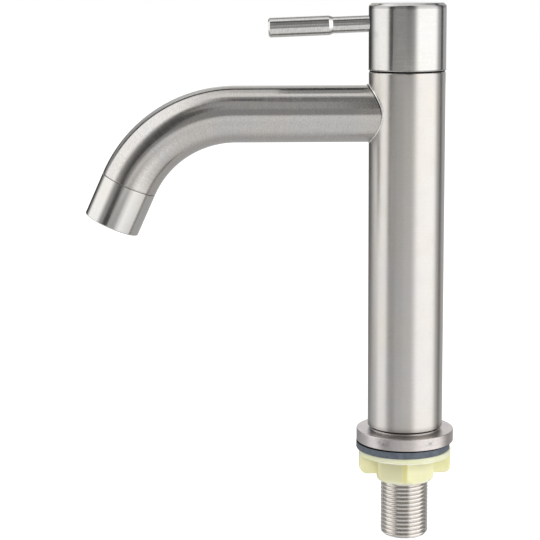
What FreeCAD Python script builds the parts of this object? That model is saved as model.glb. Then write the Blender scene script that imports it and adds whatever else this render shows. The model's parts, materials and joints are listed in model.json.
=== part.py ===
import FreeCAD, Part

import os
import re

import Sketcher
from FreeCAD import Placement, Rotation, Vector

# A deck-mounted cold water tap: a straight brushed steel column with a welded bent spout,
# a quarter-turn lever handle on top and a threaded shank with a backnut underneath.
# Millimetres. The origin is the centre of the flange's underside, where the tap meets the deck.
# +Z points up the column. The spout and the closed lever point along -X.

SIZES = {
    # column
    "body_radius": 16.5,
    "body_wall": 1.5,
    "body_length": 156.6,
    # base flange, the neck that the column stands on, and the spigot inside the column
    "flange_reach": 5.0,
    "flange_thickness": 5.6,
    "flange_rounding": 0.5,
    "neck_setback": 1.0,
    "neck_height": 1.5,
    "spigot_length": 9.0,
    # threaded shank, G1/2: thread_radius is its major radius
    "thread_radius": 10.4775,
    "thread_gap": 0.07,
    "shank_length": 43.2,
    "shank_engagement": 12.0,
    "shank_bore_radius": 7.0,
    "shank_chamfer": 1.2,
    # riser pipe from the shank to the valve housing, a step narrower inside than the shank
    "pipe_step": 0.5,
    "pipe_wall": 1.0,
    "pipe_gap": 0.05,
    "pipe_below_deck": 2.0,
    # gasket, which hangs a little off centre on the shank
    "gasket_radius": 20.8,
    "gasket_hole_radius": 11.4,
    "gasket_thickness": 3.4,
    "gasket_shift": 0.8,
    # plastic backnut: disc, hexagonal hub and two wings
    "nut_turn": 3.0,
    "nut_radius": 20.5,
    "nut_disc": 2.6,
    "hub_across_flats": 24.6,
    "hub_drop": 11.7,
    "hub_chamfer": 2.4,
    "wing_width": 8.0,
    "wing_drop": 8.5,
    "wing_rounding": 3.0,
    # spout, whose axis meets the column a set drop below the column's top edge
    "spout_radius": 12.4,
    "spout_wall": 1.2,
    "spout_drop": 18.0,
    "spout_straight": 74.0,
    "bend_radius": 51.5,
    "bend_angle": 65.5,
    "spout_hole_radius": 9.5,
    # outlet sleeve with its aerator
    "sleeve_length": 19.5,
    "sleeve_wall": 1.35,
    "sleeve_seam": 0.15,
    "sleeve_lip_height": 2.3,
    "sleeve_lip_reach": 0.75,
    "end_ring_depth": 4.0,
    "end_ring_nose": 5.6,
    "end_ring_bore_radius": 9.0,
    "washer_thickness": 1.5,
    "insert_wall": 1.4,
    "insert_floor": 2.4,
    "insert_recess": 0.9,
    "plate_thickness": 1.0,
    "jet_radius": 1.15,
    "jet_ring": 3.5,
    "plate_hole_radius": 0.8,
    # valve housing inside the column
    "fit_gap": 0.03,
    "housing_recess": 3.5,
    "chamber_depth": 29.0,
    "chamber_radius": 12.0,
    "chamber_height": 20.0,
    "chamber_shoulder": 1.5,
    "throat_radius": 6.0,
    "throat_length": 7.0,
    "pipe_socket_depth": 6.0,
    "port_radius": 6.5,
    "countersink": 2.4,
    # ceramic-disc cartridge
    "screw_gap": 0.05,
    "cage_radius": 9.2,
    "cage_bore_radius": 7.6,
    "seal_height": 3.0,
    "seal_stand_off": 1.0,
    "seal_bore_radius": 5.0,
    "relief_radius": 9.6,
    "hex_gap": 0.9,
    "hex_height": 7.0,
    "boss_radius": 8.0,
    "boss_height": 2.5,
    "window_width": 10.0,
    "window_height": 4.5,
    "housing_o_ring_section": 0.9,
    # ceramic discs
    "disc_radius": 7.5,
    "disc_gap": 0.1,
    "disc_thickness": 3.0,
    "disc_key_width": 3.0,
    "disc_key_radius": 8.7,
    "port_inner_radius": 3.4,
    "port_outer_radius": 6.3,
    "port_angle": 70.0,
    "slot_depth": 1.2,
    # spindle
    "driver_width": 5.0,
    "driver_radius": 7.2,
    "driver_height": 4.0,
    "thrust_washer": 1.0,
    "stem_radius": 4.95,
    "running_gap": 0.05,
    "stem_o_ring_section": 0.8,
    "stem_groove_depth": 1.65,
    "stem_groove_width": 2.0,
    "stem_groove_start": 4.0,
    "stem_groove_pitch": 6.0,
    "clip_radius": 6.5,
    "clip_thickness": 1.0,
    "clip_groove_depth": 0.8,
    "clip_gap": 0.1,
    "stem_above_clip": 1.5,
    "spline_teeth": 20,
    "spline_radius": 4.0,
    "spline_depth": 0.4,
    "spline_engagement": 14.5,
    # glide ring in the seam between column and handle
    "ring_lip": 0.5,
    "ring_thickness": 0.85,
    "ring_spigot_depth": 3.0,
    "ring_wall": 1.37,
    # handle, whose lever leaves it a set rise above its lower edge
    "handle_gap": 0.15,
    "shell_overhang": 0.15,
    "shell_wall": 1.5,
    "shell_roof": 1.6,
    "shell_height": 28.2,
    "shell_rounding": 1.5,
    "core_height": 17.3,
    "lever_rise": 20.0,
    "lever_droop": 2.0,
    "lever_reach": 59.6,
    "lever_step": 31.6,
    "lever_shoulder": 1.7,
    "lever_stem_radius": 3.6,
    "lever_grip_radius": 4.25,
    "lever_chamfer": 0.7,
    "lever_hole_gap": 0.1,
    "lever_thread_radius": 3.0,
    "grub_gap": 0.15,
    "grub_length": 5.0,
    "grub_key": 3.0,
    "grub_key_depth": 2.2,
}

# Places that follow from the sizes, each written once.
DERIVED = {
    "flange_radius": "body_radius + flange_reach",
    "neck_radius": "body_radius - neck_setback",
    "body_bottom": "flange_thickness + neck_height",
    "body_top": "body_bottom + body_length",
    "tube_bore": "body_radius - body_wall",
    "pipe_bore": "shank_bore_radius - pipe_step",
    "pipe_radius": "pipe_bore + pipe_wall",
    "spigot_top": "body_bottom + spigot_length",
    "nut_top": "-gasket_thickness",
    "nut_disc_bottom": "nut_top - nut_disc",
    "wing_bottom": "nut_disc_bottom - wing_drop",
    "hub_bottom": "nut_disc_bottom - hub_drop",
    "spout_height": "body_top - spout_drop",
    "spout_end_x": "-(spout_straight + bend_radius * sin(bend_angle * 1 deg))",
    "spout_end_z": "spout_height - bend_radius * (1 - cos(bend_angle * 1 deg))",
    "outlet_turn": "-(90 + bend_angle)",
    "sleeve_bore": "spout_radius - sleeve_wall",
    "nose_radius": "sleeve_bore - thread_gap",
    "end_ring_sag": "end_ring_depth * end_ring_depth / (2 * bend_radius)",
    "end_ring_radius": "spout_radius - spout_wall - fit_gap - end_ring_sag",
    "lip_top": "sleeve_length - sleeve_lip_height",
    "lip_bore": "sleeve_bore - sleeve_lip_reach",
    "washer_bottom": "end_ring_nose + washer_thickness",
    "insert_radius": "sleeve_bore - thread_gap",
    "insert_nose_radius": "lip_bore - thread_gap",
    "insert_end": "sleeve_length - insert_recess",
    "plate_bottom": "washer_bottom + plate_thickness",
    "housing_radius": "tube_bore - fit_gap",
    "housing_top": "body_top - housing_recess",
    "chamber_floor": "housing_top - chamber_depth",
    "chamber_top": "chamber_floor + chamber_height",
    "thread_bottom": "chamber_top + chamber_shoulder",
    "countersink_bottom": "housing_top - countersink",
    "pipe_top": "chamber_floor - throat_length",
    "housing_bottom": "pipe_top - pipe_socket_depth",
    "cage_bottom": "chamber_floor + seal_stand_off",
    "seal_top": "chamber_floor + seal_height",
    "fixed_top": "seal_top + disc_thickness",
    "moving_top": "fixed_top + disc_thickness",
    "driver_bottom": "moving_top - slot_depth",
    "driver_top": "driver_bottom + driver_height",
    "cage_shoulder": "driver_top + thrust_washer",
    "stem_bore": "stem_radius + running_gap",
    "cartridge_thread": "thread_radius - screw_gap",
    "ring_bore_radius": "tube_bore - fit_gap - ring_wall",
    "hex_across_flats": "(ring_bore_radius - hex_gap) * sqrt(3)",
    "hex_top": "housing_top + hex_height",
    "cartridge_top": "hex_top + boss_height",
    "clip_bottom": "cartridge_top + clip_gap",
    "clip_top": "clip_bottom + clip_thickness",
    "stem_top": "clip_top + clip_gap + stem_above_clip",
    "groove_radius": "stem_radius - stem_groove_depth",
    "ring_top": "body_top + ring_thickness",
    "shell_radius": "body_radius + shell_overhang",
    "shell_bottom": "ring_top + handle_gap",
    "shell_top": "shell_bottom + shell_height",
    "shell_bore": "shell_radius - shell_wall",
    "core_radius": "shell_bore - fit_gap",
    "core_top": "shell_top - shell_roof",
    "core_bottom": "core_top - core_height",
    "spindle_top": "core_bottom + spline_engagement",
    "lever_height": "shell_bottom + lever_rise",
    "lever_turn": "-(90 + lever_droop)",
    "grub_start": "spline_radius + grub_gap",
    "grub_end": "grub_start + grub_length",
    "lever_start": "grub_end + grub_gap",
    "lever_seat": "core_radius + grub_gap",
}

WHOLE_TURN = 360
CLIP_OPENING = 60
SPLINE_HALF_TIP = 0.33
SPLINE_HALF_ROOT = 0.14
SPLINE_SIDE_GAP = 0.07
UP = Vector(0, 0, 1)
SIDEWAYS = Vector(0, 1, 0)

doc = FreeCAD.newDocument("ColdWaterTap")
sheet = doc.addObject("Spreadsheet::Sheet", "Sizes")
for row, (size_name, size_value) in enumerate(SIZES.items(), start=1):
    sheet.set(f"A{row}", size_name)
    sheet.set(f"B{row}", str(size_value))
    sheet.setAlias(f"B{row}", size_name)
doc.recompute()


def formula(text):
    """Write a formula out in sheet cells: derived places in full, sizes by their aliases."""

    def cell(match):
        word = match.group(0)
        if word in DERIVED:
            return "(" + formula(DERIVED[word]) + ")"
        return "Sizes." + word if word in SIZES else word

    return re.sub(r"[a-z][a-z_]*", cell, str(text))


def value(text):
    """The number that a formula gives at the present sizes."""
    return float(sheet.evalExpression(formula(text)))


def bind(item, property_name, text):
    """Tie a property to a formula."""
    item.setExpression(property_name, formula(text))


# Building blocks for the bodies.


def new_body(label):
    body = doc.addObject("PartDesign::Body", label)
    body.Label = label
    return body


def place(body, x="0", z="0", axis=SIDEWAYS, turn="0"):
    """Move a body to x and z and turn it about an axis, all tied to the sizes."""
    body.Placement = Placement(Vector(), Rotation(axis, value(turn)))
    bind(body, "Placement.Base.x", x)
    bind(body, "Placement.Base.z", z)
    bind(body, "Placement.Rotation.Angle", turn)


def sketch_on(body, role, lift="0"):
    """A sketch on one of the body's own origin planes, lifted along the plane's normal."""
    plane = next(f for f in body.Origin.OriginFeatures if f.Role == role)
    sketch = body.newObject("Sketcher::SketchObject", body.Label + "_sketch")
    sketch.AttachmentSupport = [(plane, "")]
    sketch.MapMode = "FlatFace"
    bind(sketch, "AttachmentOffset.Base.z", lift)
    return sketch


def hold(sketch, kind, item, end, text):
    """Hold a point of a sketch at a distance from the sketch's origin along one of its axes."""
    number = sketch.addConstraint(Sketcher.Constraint(kind, -1, 1, item, end, value(text)))
    bind(sketch, f"Constraints[{number}]", text)


def pin_point(sketch, item, end, x, y):
    """Hold a point of a sketch at x and y, both formulas."""
    hold(sketch, "DistanceX", item, end, x)
    hold(sketch, "DistanceY", item, end, y)


def draw_outline(sketch, corners):
    """A closed outline of straight lines through corners given as (x, y) formulas."""
    points = [Vector(value(x), value(y), 0) for x, y in corners]
    first = sketch.GeometryCount
    count = len(corners)
    for i in range(count):
        sketch.addGeometry(Part.LineSegment(points[i], points[(i + 1) % count]))
    for i in range(count):
        sketch.addConstraint(
            Sketcher.Constraint("Coincident", first + i, 2, first + (i + 1) % count, 1)
        )
    for i, (x, y) in enumerate(corners):
        pin_point(sketch, first + i, 1, x, y)


def draw_circle(sketch, radius, x="0", y="0"):
    """A circle whose centre and radius are formulas."""
    item = sketch.addGeometry(
        Part.Circle(Vector(value(x), value(y), 0), Vector(0, 0, 1), value(radius))
    )
    number = sketch.addConstraint(Sketcher.Constraint("Radius", item, value(radius)))
    bind(sketch, f"Constraints[{number}]", radius)
    if value(x) == 0 and value(y) == 0:
        sketch.addConstraint(Sketcher.Constraint("Coincident", item, 3, -1, 1))
    else:
        pin_point(sketch, item, 3, x, y)


def hexagon(across_flats):
    """Corners of a hexagon with two flats square to X."""
    half = f"{across_flats} / 2"
    side = f"{across_flats} / 2 * tan(30 deg)"
    point = f"{across_flats} / sqrt(3)"
    return [
        (half, side), ("0", point), (f"-{half}", side),
        (f"-{half}", f"-({side})"), ("0", f"-({point})"), (half, f"-({side})"),
    ]


def revolve(body, sketch, kind="PartDesign::Revolution", angle=WHOLE_TURN):
    feature = body.newObject(kind, body.Label + "_turned")
    feature.Profile = sketch
    feature.ReferenceAxis = (sketch, ["V_Axis"])
    feature.Angle = angle
    sketch.Visibility = False
    return feature


def turned(label, corners, angle=WHOLE_TURN):
    """A body turned on a lathe: corners are (radius, height) formulas."""
    body = new_body(label)
    sketch = sketch_on(body, "XZ_Plane")
    draw_outline(sketch, corners)
    revolve(body, sketch, angle=angle)
    return body


def tube(label, bore, radius, bottom, top):
    """A plain turned ring."""
    return turned(label, [(bore, bottom), (radius, bottom), (radius, top), (bore, top)])


def turn_groove(body, corners):
    """Cut a turned groove with a profile of (radius, height) corners."""
    sketch = sketch_on(body, "XZ_Plane")
    draw_outline(sketch, corners)
    return revolve(body, sketch, kind="PartDesign::Groove")


def o_ring(label, centre_radius, section, level):
    body = new_body(label)
    sketch = sketch_on(body, "XZ_Plane")
    draw_circle(sketch, section, centre_radius, level)
    revolve(body, sketch)
    return body


def pad(body, sketch, length, midplane=False):
    feature = body.newObject("PartDesign::Pad", body.Label + "_pad")
    feature.Profile = sketch
    bind(feature, "Length", length)
    feature.Midplane = midplane
    return feature


def pocket(body, sketch, length, midplane=False, reverse=False):
    """A cut, normally against the sketch's normal. It has to take material away."""
    doc.recompute()
    before = body.Shape.Volume
    feature = body.newObject("PartDesign::Pocket", body.Label + "_pocket")
    feature.Profile = sketch
    bind(feature, "Length", length)
    feature.Midplane = midplane
    feature.Reversed = reverse
    doc.recompute()
    if body.Shape.Volume >= before:
        raise RuntimeError(f"a pocket in {body.Label} removed nothing")
    return feature


def polar(body, feature, sketch, count):
    """Repeat a feature evenly round the sketch's normal."""
    pattern = body.newObject("PartDesign::PolarPattern", body.Label + "_pattern")
    pattern.Originals = [feature]
    pattern.Axis = (sketch, ["N_Axis"])
    pattern.Angle = WHOLE_TURN
    bind(pattern, "Occurrences", count)
    body.Tip = pattern
    return pattern


def round_edges(body, radius, chosen):
    """Round the edges of the body's tip for which chosen(edge) is true."""
    doc.recompute()
    base = body.Tip
    names = [f"Edge{i}" for i, edge in enumerate(base.Shape.Edges, start=1) if chosen(edge)]
    feature = body.newObject("PartDesign::Fillet", body.Label + "_rounding")
    feature.Base = (base, names)
    bind(feature, "Radius", radius)
    return feature


def edge_at(edge, radius, height):
    """True for a full circle of this radius about Z at this height."""
    circle = getattr(edge, "Curve", None)
    return (
        isinstance(circle, Part.Circle)
        and abs(circle.Radius - radius) < 1e-4
        and abs(circle.Center.z - height) < 1e-4
    )


def drill(body, radius, length, x="0", z="0", turn="0"):
    """Cut a round hole from a point along a direction tilted about Y."""
    doc.recompute()
    before = body.Shape.Volume
    cutter = body.newObject("PartDesign::SubtractiveCylinder", body.Label + "_hole")
    bind(cutter, "Radius", radius)
    bind(cutter, "Height", length)
    place(cutter, x, z, SIDEWAYS, turn)
    doc.recompute()
    if body.Shape.Volume >= before:
        raise RuntimeError(f"a hole in {body.Label} removed nothing")
    return cutter


# Base: flange, shank and riser pipe.


def make_base_flange():
    body = turned("base_flange", [
        ("thread_radius", "0"),
        ("flange_radius", "0"),
        ("flange_radius", "flange_thickness"),
        ("neck_radius", "flange_thickness"),
        ("neck_radius", "body_bottom"),
        ("tube_bore - fit_gap", "body_bottom"),
        ("tube_bore - fit_gap", "spigot_top"),
        ("pipe_radius + pipe_gap", "spigot_top"),
        ("pipe_radius + pipe_gap", "shank_engagement"),
        ("thread_radius", "shank_engagement"),
    ])
    rim = value("flange_radius")
    top = value("flange_thickness")
    round_edges(body, "flange_rounding", lambda edge: edge_at(edge, rim, top))


def make_threaded_shank():
    turned("threaded_shank", [
        ("shank_bore_radius", "-shank_length"),
        ("thread_radius - shank_chamfer", "-shank_length"),
        ("thread_radius", "shank_chamfer - shank_length"),
        ("thread_radius", "shank_engagement"),
        ("pipe_radius + pipe_gap", "shank_engagement"),
        ("pipe_radius + pipe_gap", "-pipe_below_deck"),
        ("shank_bore_radius", "-pipe_below_deck"),
    ])


def make_riser_pipe():
    tube("riser_pipe", "pipe_bore", "pipe_radius", "-pipe_below_deck", "pipe_top")


def make_base_gasket():
    body = tube("base_gasket", "gasket_hole_radius", "gasket_radius", "-gasket_thickness", "0")
    place(body, x="-gasket_shift")


def make_backnut():
    """A moulded nut: a flat disc under the gasket, a hexagonal hub and two wings to turn it by."""
    body = new_body("backnut")
    disc = sketch_on(body, "XY_Plane", "nut_disc_bottom")
    draw_circle(disc, "nut_radius")
    pad(body, disc, "nut_disc")
    hub = sketch_on(body, "XY_Plane", "hub_bottom")
    draw_outline(hub, hexagon("hub_across_flats"))
    pad(body, hub, "hub_drop + nut_disc / 2")
    wings = sketch_on(body, "XZ_Plane")
    draw_outline(wings, [
        ("-nut_radius", "wing_bottom"),
        ("nut_radius", "wing_bottom"),
        ("nut_radius", "nut_disc_bottom + nut_disc / 2"),
        ("-nut_radius", "nut_disc_bottom + nut_disc / 2"),
    ])
    pad(body, wings, "wing_width", midplane=True)
    low = value("wing_bottom")
    reach = value("nut_radius")

    def outer_corner(edge):
        middle = edge.CenterOfMass
        return abs(middle.z - low) < 1e-4 and abs(abs(middle.x) - reach) < 1e-4

    round_edges(body, "wing_rounding", outer_corner)
    turn_groove(body, [
        ("nut_radius", "wing_bottom - 1"),
        ("nut_radius + 1", "wing_bottom - 1"),
        ("nut_radius + 1", "nut_top + 1"),
        ("nut_radius", "nut_top + 1"),
    ])
    turn_groove(body, [
        ("hub_across_flats / 2", "hub_bottom - 1"),
        ("hub_across_flats / sqrt(3) + 0.1", "hub_bottom - 1"),
        ("hub_across_flats / sqrt(3) + 0.1", "hub_bottom + hub_chamfer"),
        ("hub_across_flats / 2", "hub_bottom"),
    ])
    bore = sketch_on(body, "XY_Plane", "nut_top")
    draw_circle(bore, "thread_radius + thread_gap")
    pocket(body, bore, "nut_disc + hub_drop")
    place(body, axis=UP, turn="nut_turn")


# Column and spout.


def make_body_tube():
    body = tube("body_tube", "tube_bore", "body_radius", "body_bottom", "body_top")
    hole = sketch_on(body, "YZ_Plane")
    draw_circle(hole, "spout_hole_radius", "0", "spout_height")
    pocket(body, hole, "body_radius + 1")


def make_spout_tube():
    """A bent tube whose root is cut to the column's own curve, so that it sits on it as a saddle."""
    body = new_body("spout_tube")
    root = sketch_on(body, "YZ_Plane", "-spout_straight")
    draw_tube_section(root)
    pad(body, root, "spout_straight")
    bend = sketch_on(body, "YZ_Plane", "-spout_straight")
    axis_height = "spout_height - bend_radius"
    axis = bend.addGeometry(
        Part.LineSegment(Vector(0, value(axis_height), 0), Vector(1, value(axis_height), 0)), True
    )
    pin_point(bend, axis, 1, "0", axis_height)
    pin_point(bend, axis, 2, "1", axis_height)
    draw_tube_section(bend)
    elbow = body.newObject("PartDesign::Revolution", "spout_elbow")
    elbow.Profile = bend
    elbow.ReferenceAxis = (bend, ["Axis0"])
    bind(elbow, "Angle", "bend_angle")
    elbow.Reversed = True
    saddle = sketch_on(body, "XY_Plane", "spout_height + spout_radius + 1")
    draw_circle(saddle, "body_radius")
    pocket(body, saddle, "2 * (spout_radius + 1)")


def draw_tube_section(sketch):
    draw_circle(sketch, "spout_radius", "0", "spout_height")
    draw_circle(sketch, "spout_radius - spout_wall", "0", "spout_height")


def make_outlet():
    """The end of the spout, along its own axis: an end ring, the sleeve and the aerator in it."""
    ring = turned("spout_end_ring", [
        ("end_ring_bore_radius", "-end_ring_depth"),
        ("end_ring_radius", "-end_ring_depth"),
        ("end_ring_radius", "0"),
        ("nose_radius", "0"),
        ("nose_radius", "end_ring_nose"),
        ("end_ring_bore_radius", "end_ring_nose"),
    ])
    sleeve = turned("outlet_sleeve", [
        ("sleeve_bore", "sleeve_seam"),
        ("spout_radius", "sleeve_seam"),
        ("spout_radius", "sleeve_length"),
        ("lip_bore", "sleeve_length"),
        ("lip_bore", "lip_top"),
        ("sleeve_bore", "lip_top"),
    ])
    washer = tube(
        "aerator_washer", "end_ring_bore_radius", "insert_radius", "end_ring_nose", "washer_bottom"
    )
    insert = turned("aerator_insert", [
        ("0", "insert_end"),
        ("insert_nose_radius", "insert_end"),
        ("insert_nose_radius", "lip_top"),
        ("insert_radius", "lip_top"),
        ("insert_radius", "washer_bottom"),
        ("insert_nose_radius", "washer_bottom"),
        ("insert_nose_radius", "plate_bottom"),
        ("insert_radius - insert_wall", "plate_bottom"),
        ("insert_radius - insert_wall", "insert_end - insert_floor"),
        ("0", "insert_end - insert_floor"),
    ])
    pierce(insert, "jet_radius", "insert_end", "insert_floor")
    plate = turned("diffuser_plate", [
        ("0", "washer_bottom"),
        ("insert_nose_radius - fit_gap", "washer_bottom"),
        ("insert_nose_radius - fit_gap", "plate_bottom"),
        ("0", "plate_bottom"),
    ])
    pierce(plate, "plate_hole_radius", "plate_bottom", "plate_thickness")
    for body in (ring, sleeve, washer, insert, plate):
        place(body, "spout_end_x", "spout_end_z", SIDEWAYS, "outlet_turn")


def pierce(body, radius, level, depth):
    """Nineteen holes: one in the middle, six round it and twelve round those."""
    middle = sketch_on(body, "XY_Plane", level)
    draw_circle(middle, radius)
    pocket(body, middle, depth)
    for ring, count in ((1, 6), (2, 12)):
        sketch = sketch_on(body, "XY_Plane", level)
        draw_circle(sketch, radius, f"jet_ring * {ring}")
        hole = pocket(body, sketch, depth)
        polar(body, hole, sketch, count)


# Valve: housing, cartridge, discs and spindle.


def make_valve_housing():
    body = turned("valve_housing", [
        ("pipe_radius + pipe_gap", "housing_bottom"),
        ("housing_radius", "housing_bottom"),
        ("housing_radius", "housing_top"),
        ("thread_radius + countersink", "housing_top"),
        ("thread_radius", "countersink_bottom"),
        ("thread_radius", "thread_bottom"),
        ("chamber_radius", "chamber_top"),
        ("chamber_radius", "chamber_floor"),
        ("throat_radius", "chamber_floor"),
        ("throat_radius", "pipe_top"),
        ("pipe_radius + pipe_gap", "pipe_top"),
    ])
    port = sketch_on(body, "YZ_Plane")
    draw_circle(port, "port_radius", "0", "spout_height")
    pocket(body, port, "body_radius")


def make_cartridge_body():
    body = turned("cartridge_body", [
        ("cage_bore_radius", "cage_bottom"),
        ("cage_radius", "cage_bottom"),
        ("cage_radius", "thread_bottom"),
        ("cartridge_thread", "thread_bottom"),
        ("cartridge_thread", "countersink_bottom"),
        ("relief_radius", "countersink_bottom"),
        ("relief_radius", "housing_top"),
        ("boss_radius", "housing_top"),
        ("boss_radius", "cartridge_top"),
        ("stem_bore", "cartridge_top"),
        ("stem_bore", "cage_shoulder"),
        ("cage_bore_radius", "cage_shoulder"),
    ])
    spanner_flats = sketch_on(body, "XY_Plane", "housing_top")
    draw_outline(spanner_flats, hexagon("hex_across_flats"))
    draw_circle(spanner_flats, "boss_radius - 1")
    pad(body, spanner_flats, "hex_height")
    window = sketch_on(body, "YZ_Plane")
    draw_outline(window, [
        ("-window_width / 2", "cage_shoulder - window_height"),
        ("window_width / 2", "cage_shoulder - window_height"),
        ("window_width / 2", "cage_shoulder"),
        ("-window_width / 2", "cage_shoulder"),
    ])
    pocket(body, window, "2 * cage_radius + 2", midplane=True)
    keyway = sketch_on(body, "XZ_Plane")
    draw_outline(keyway, [
        ("-disc_key_width / 2 - disc_gap", "cage_bottom"),
        ("disc_key_width / 2 + disc_gap", "cage_bottom"),
        ("disc_key_width / 2 + disc_gap", "fixed_top + disc_gap"),
        ("-disc_key_width / 2 - disc_gap", "fixed_top + disc_gap"),
    ])
    pocket(body, keyway, "2 * cage_radius + 2", midplane=True)


def make_valve_seals():
    tube("seat_seal", "seal_bore_radius", "disc_radius", "chamber_floor", "seal_top")
    o_ring(
        "housing_o_ring", "relief_radius + housing_o_ring_section", "housing_o_ring_section",
        "housing_top - housing_o_ring_section - fit_gap",
    )
    for number, name in enumerate(("lower", "upper")):
        o_ring(
            f"spindle_o_ring_{name}", "groove_radius + stem_o_ring_section", "stem_o_ring_section",
            "cage_shoulder + stem_groove_start + stem_groove_width / 2"
            f" + {number} * stem_groove_pitch",
        )


def cylinder(name, radius, height, level, angle=None, turn="0"):
    """A Part cylinder, or a slice of one that starts at turn degrees."""
    solid = doc.addObject("Part::Cylinder", name)
    bind(solid, "Radius", radius)
    bind(solid, "Height", height)
    if angle:
        bind(solid, "Angle", angle)
    place(solid, z=level, axis=UP, turn=turn)
    return solid


def block(name, length, width, height, level):
    """A Part box centred on the Z axis."""
    solid = doc.addObject("Part::Box", name)
    bind(solid, "Length", length)
    bind(solid, "Width", width)
    bind(solid, "Height", height)
    bind(solid, "Placement.Base.x", f"-({length}) / 2")
    bind(solid, "Placement.Base.y", f"-({width}) / 2")
    bind(solid, "Placement.Base.z", level)
    return solid


def combine(kind, name, base, *tools):
    """Cut the tools from the base, or fuse them to it, one after the other."""
    for tool in tools:
        result = doc.addObject(kind, f"{name}_result")
        result.Base = base
        result.Tool = tool
        base = result
    return base


def disc_ports(name, level, middle_angle):
    """Two ports opposite each other, each a slice of a ring, as tools for cutting a disc."""
    ports = []
    for side in (0, 180):
        slice_start = f"{middle_angle + side} - port_angle / 2"
        piece = cylinder(f"{name}_slice", "port_outer_radius", "disc_thickness", level, "port_angle",
                         slice_start)
        core = cylinder(f"{name}_land", "port_inner_radius", "disc_thickness", level)
        ports.append(combine("Part::Cut", f"{name}_port", piece, core))
    return ports


def make_ceramic_discs():
    """Both discs carry the same two ports. Closed, they lie at right angles to each other."""
    plate = cylinder("fixed_disc_plate", "disc_radius", "disc_thickness", "seal_top")
    key = block("fixed_disc_key", "disc_key_width", "2 * disc_key_radius", "disc_thickness", "seal_top")
    keyed = combine("Part::Fuse", "fixed_disc_keyed", plate, key)
    fixed = combine("Part::Cut", "fixed_disc", keyed, *disc_ports("fixed", "seal_top", 90))
    fixed.Label = "fixed_disc"
    blank = cylinder("moving_disc_plate", "disc_radius - disc_gap", "disc_thickness", "fixed_top")
    slot = block(
        "moving_disc_slot", "driver_width + 2 * running_gap", "2 * disc_radius + 2", "slot_depth",
        "driver_bottom",
    )
    ports = disc_ports("moving", "fixed_top", 0)
    moving = combine("Part::Cut", "moving_disc", blank, slot, *ports)
    moving.Label = "moving_disc"
    return fixed, moving


def spline_tooth(sketch, root, tip, spread):
    """A trapezoid on +X, wider at the tip by the same slope on both sides."""
    half_tip = f"{SPLINE_HALF_TIP} - {spread}"
    half_root = f"{SPLINE_HALF_ROOT} - {spread}"
    draw_outline(sketch, [
        (root, f"-({half_root})"), (tip, f"-({half_tip})"), (tip, half_tip), (root, half_root),
    ])


def make_spindle():
    """Driver bar at the foot, stem with two seal grooves and a clip groove, splined head."""
    grooves = []
    for number in (0, 1):
        start = f"cage_shoulder + stem_groove_start + {number} * stem_groove_pitch"
        end = f"{start} + stem_groove_width"
        grooves += [("stem_radius", start), ("groove_radius", start)]
        grooves += [("groove_radius", end), ("stem_radius", end)]
    clip_bed = "stem_radius - clip_groove_depth"
    body = turned("spindle", [
        ("0", "driver_bottom"),
        ("driver_radius", "driver_bottom"),
        ("driver_radius", "driver_top"),
        ("stem_radius", "driver_top"),
        *grooves,
        ("stem_radius", "clip_bottom - clip_gap / 2"),
        (clip_bed, "clip_bottom - clip_gap / 2"),
        (clip_bed, "clip_top + clip_gap / 2"),
        ("stem_radius", "clip_top + clip_gap / 2"),
        ("stem_radius", "stem_top"),
        ("spline_radius", "stem_top"),
        ("spline_radius", "spindle_top"),
        ("0", "spindle_top"),
    ])
    for side in (1, -1):
        flat = sketch_on(body, "XY_Plane", "driver_top")
        draw_outline(flat, [
            (f"{side} * driver_width / 2", "-driver_radius - 1"),
            (f"{side} * (driver_radius + 1)", "-driver_radius - 1"),
            (f"{side} * (driver_radius + 1)", "driver_radius + 1"),
            (f"{side} * driver_width / 2", "driver_radius + 1"),
        ])
        pocket(body, flat, "driver_height")
    tooth_space = sketch_on(body, "XY_Plane", "spindle_top")
    spline_tooth(tooth_space, "spline_radius - spline_depth", "spline_radius + 1", 0)
    cut = pocket(body, tooth_space, "spline_engagement")
    polar(body, cut, tooth_space, "spline_teeth")


def make_spindle_washers():
    tube("thrust_washer", "stem_bore", "driver_radius", "driver_top", "cage_shoulder")
    clip_bore = "stem_radius - clip_groove_depth + running_gap"
    turned("spindle_clip", [
        (clip_bore, "clip_bottom"),
        ("clip_radius", "clip_bottom"),
        ("clip_radius", "clip_top"),
        (clip_bore, "clip_top"),
    ], angle=WHOLE_TURN - CLIP_OPENING)


# Handle: glide ring, shell, splined core, grub screw and lever.


def make_glide_ring():
    turned("glide_ring", [
        ("ring_bore_radius", "body_top - ring_spigot_depth"),
        ("tube_bore - fit_gap", "body_top - ring_spigot_depth"),
        ("tube_bore - fit_gap", "body_top"),
        ("body_radius + ring_lip", "body_top"),
        ("body_radius + ring_lip", "ring_top"),
        ("ring_bore_radius", "ring_top"),
    ])


def make_handle_shell():
    body = turned("handle_shell", [
        ("shell_bore", "shell_bottom"),
        ("shell_radius", "shell_bottom"),
        ("shell_radius", "shell_top"),
        ("0", "shell_top"),
        ("0", "core_top"),
        ("shell_bore", "core_top"),
    ])
    rim = value("shell_radius")
    top = value("shell_top")
    round_edges(body, "shell_rounding", lambda edge: edge_at(edge, rim, top))
    drill(body, "lever_stem_radius + lever_hole_gap", "shell_radius + 2", z="lever_height",
          turn="lever_turn")


def make_handle_core():
    body = turned("handle_core", [
        ("spline_radius + running_gap", "core_bottom"),
        ("core_radius", "core_bottom"),
        ("core_radius", "core_top"),
        ("0", "core_top"),
        ("0", "spindle_top + clip_gap"),
        ("spline_radius + running_gap", "spindle_top + clip_gap"),
    ])
    tooth = sketch_on(body, "XY_Plane", "core_bottom")
    spline_tooth(tooth, "spline_radius - spline_depth + running_gap", "spline_radius + 0.5",
                 SPLINE_SIDE_GAP)
    key = pad(body, tooth, "spline_engagement")
    polar(body, key, tooth, "spline_teeth")
    drill(body, "lever_thread_radius", "shell_radius", z="lever_height", turn="lever_turn")


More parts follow.
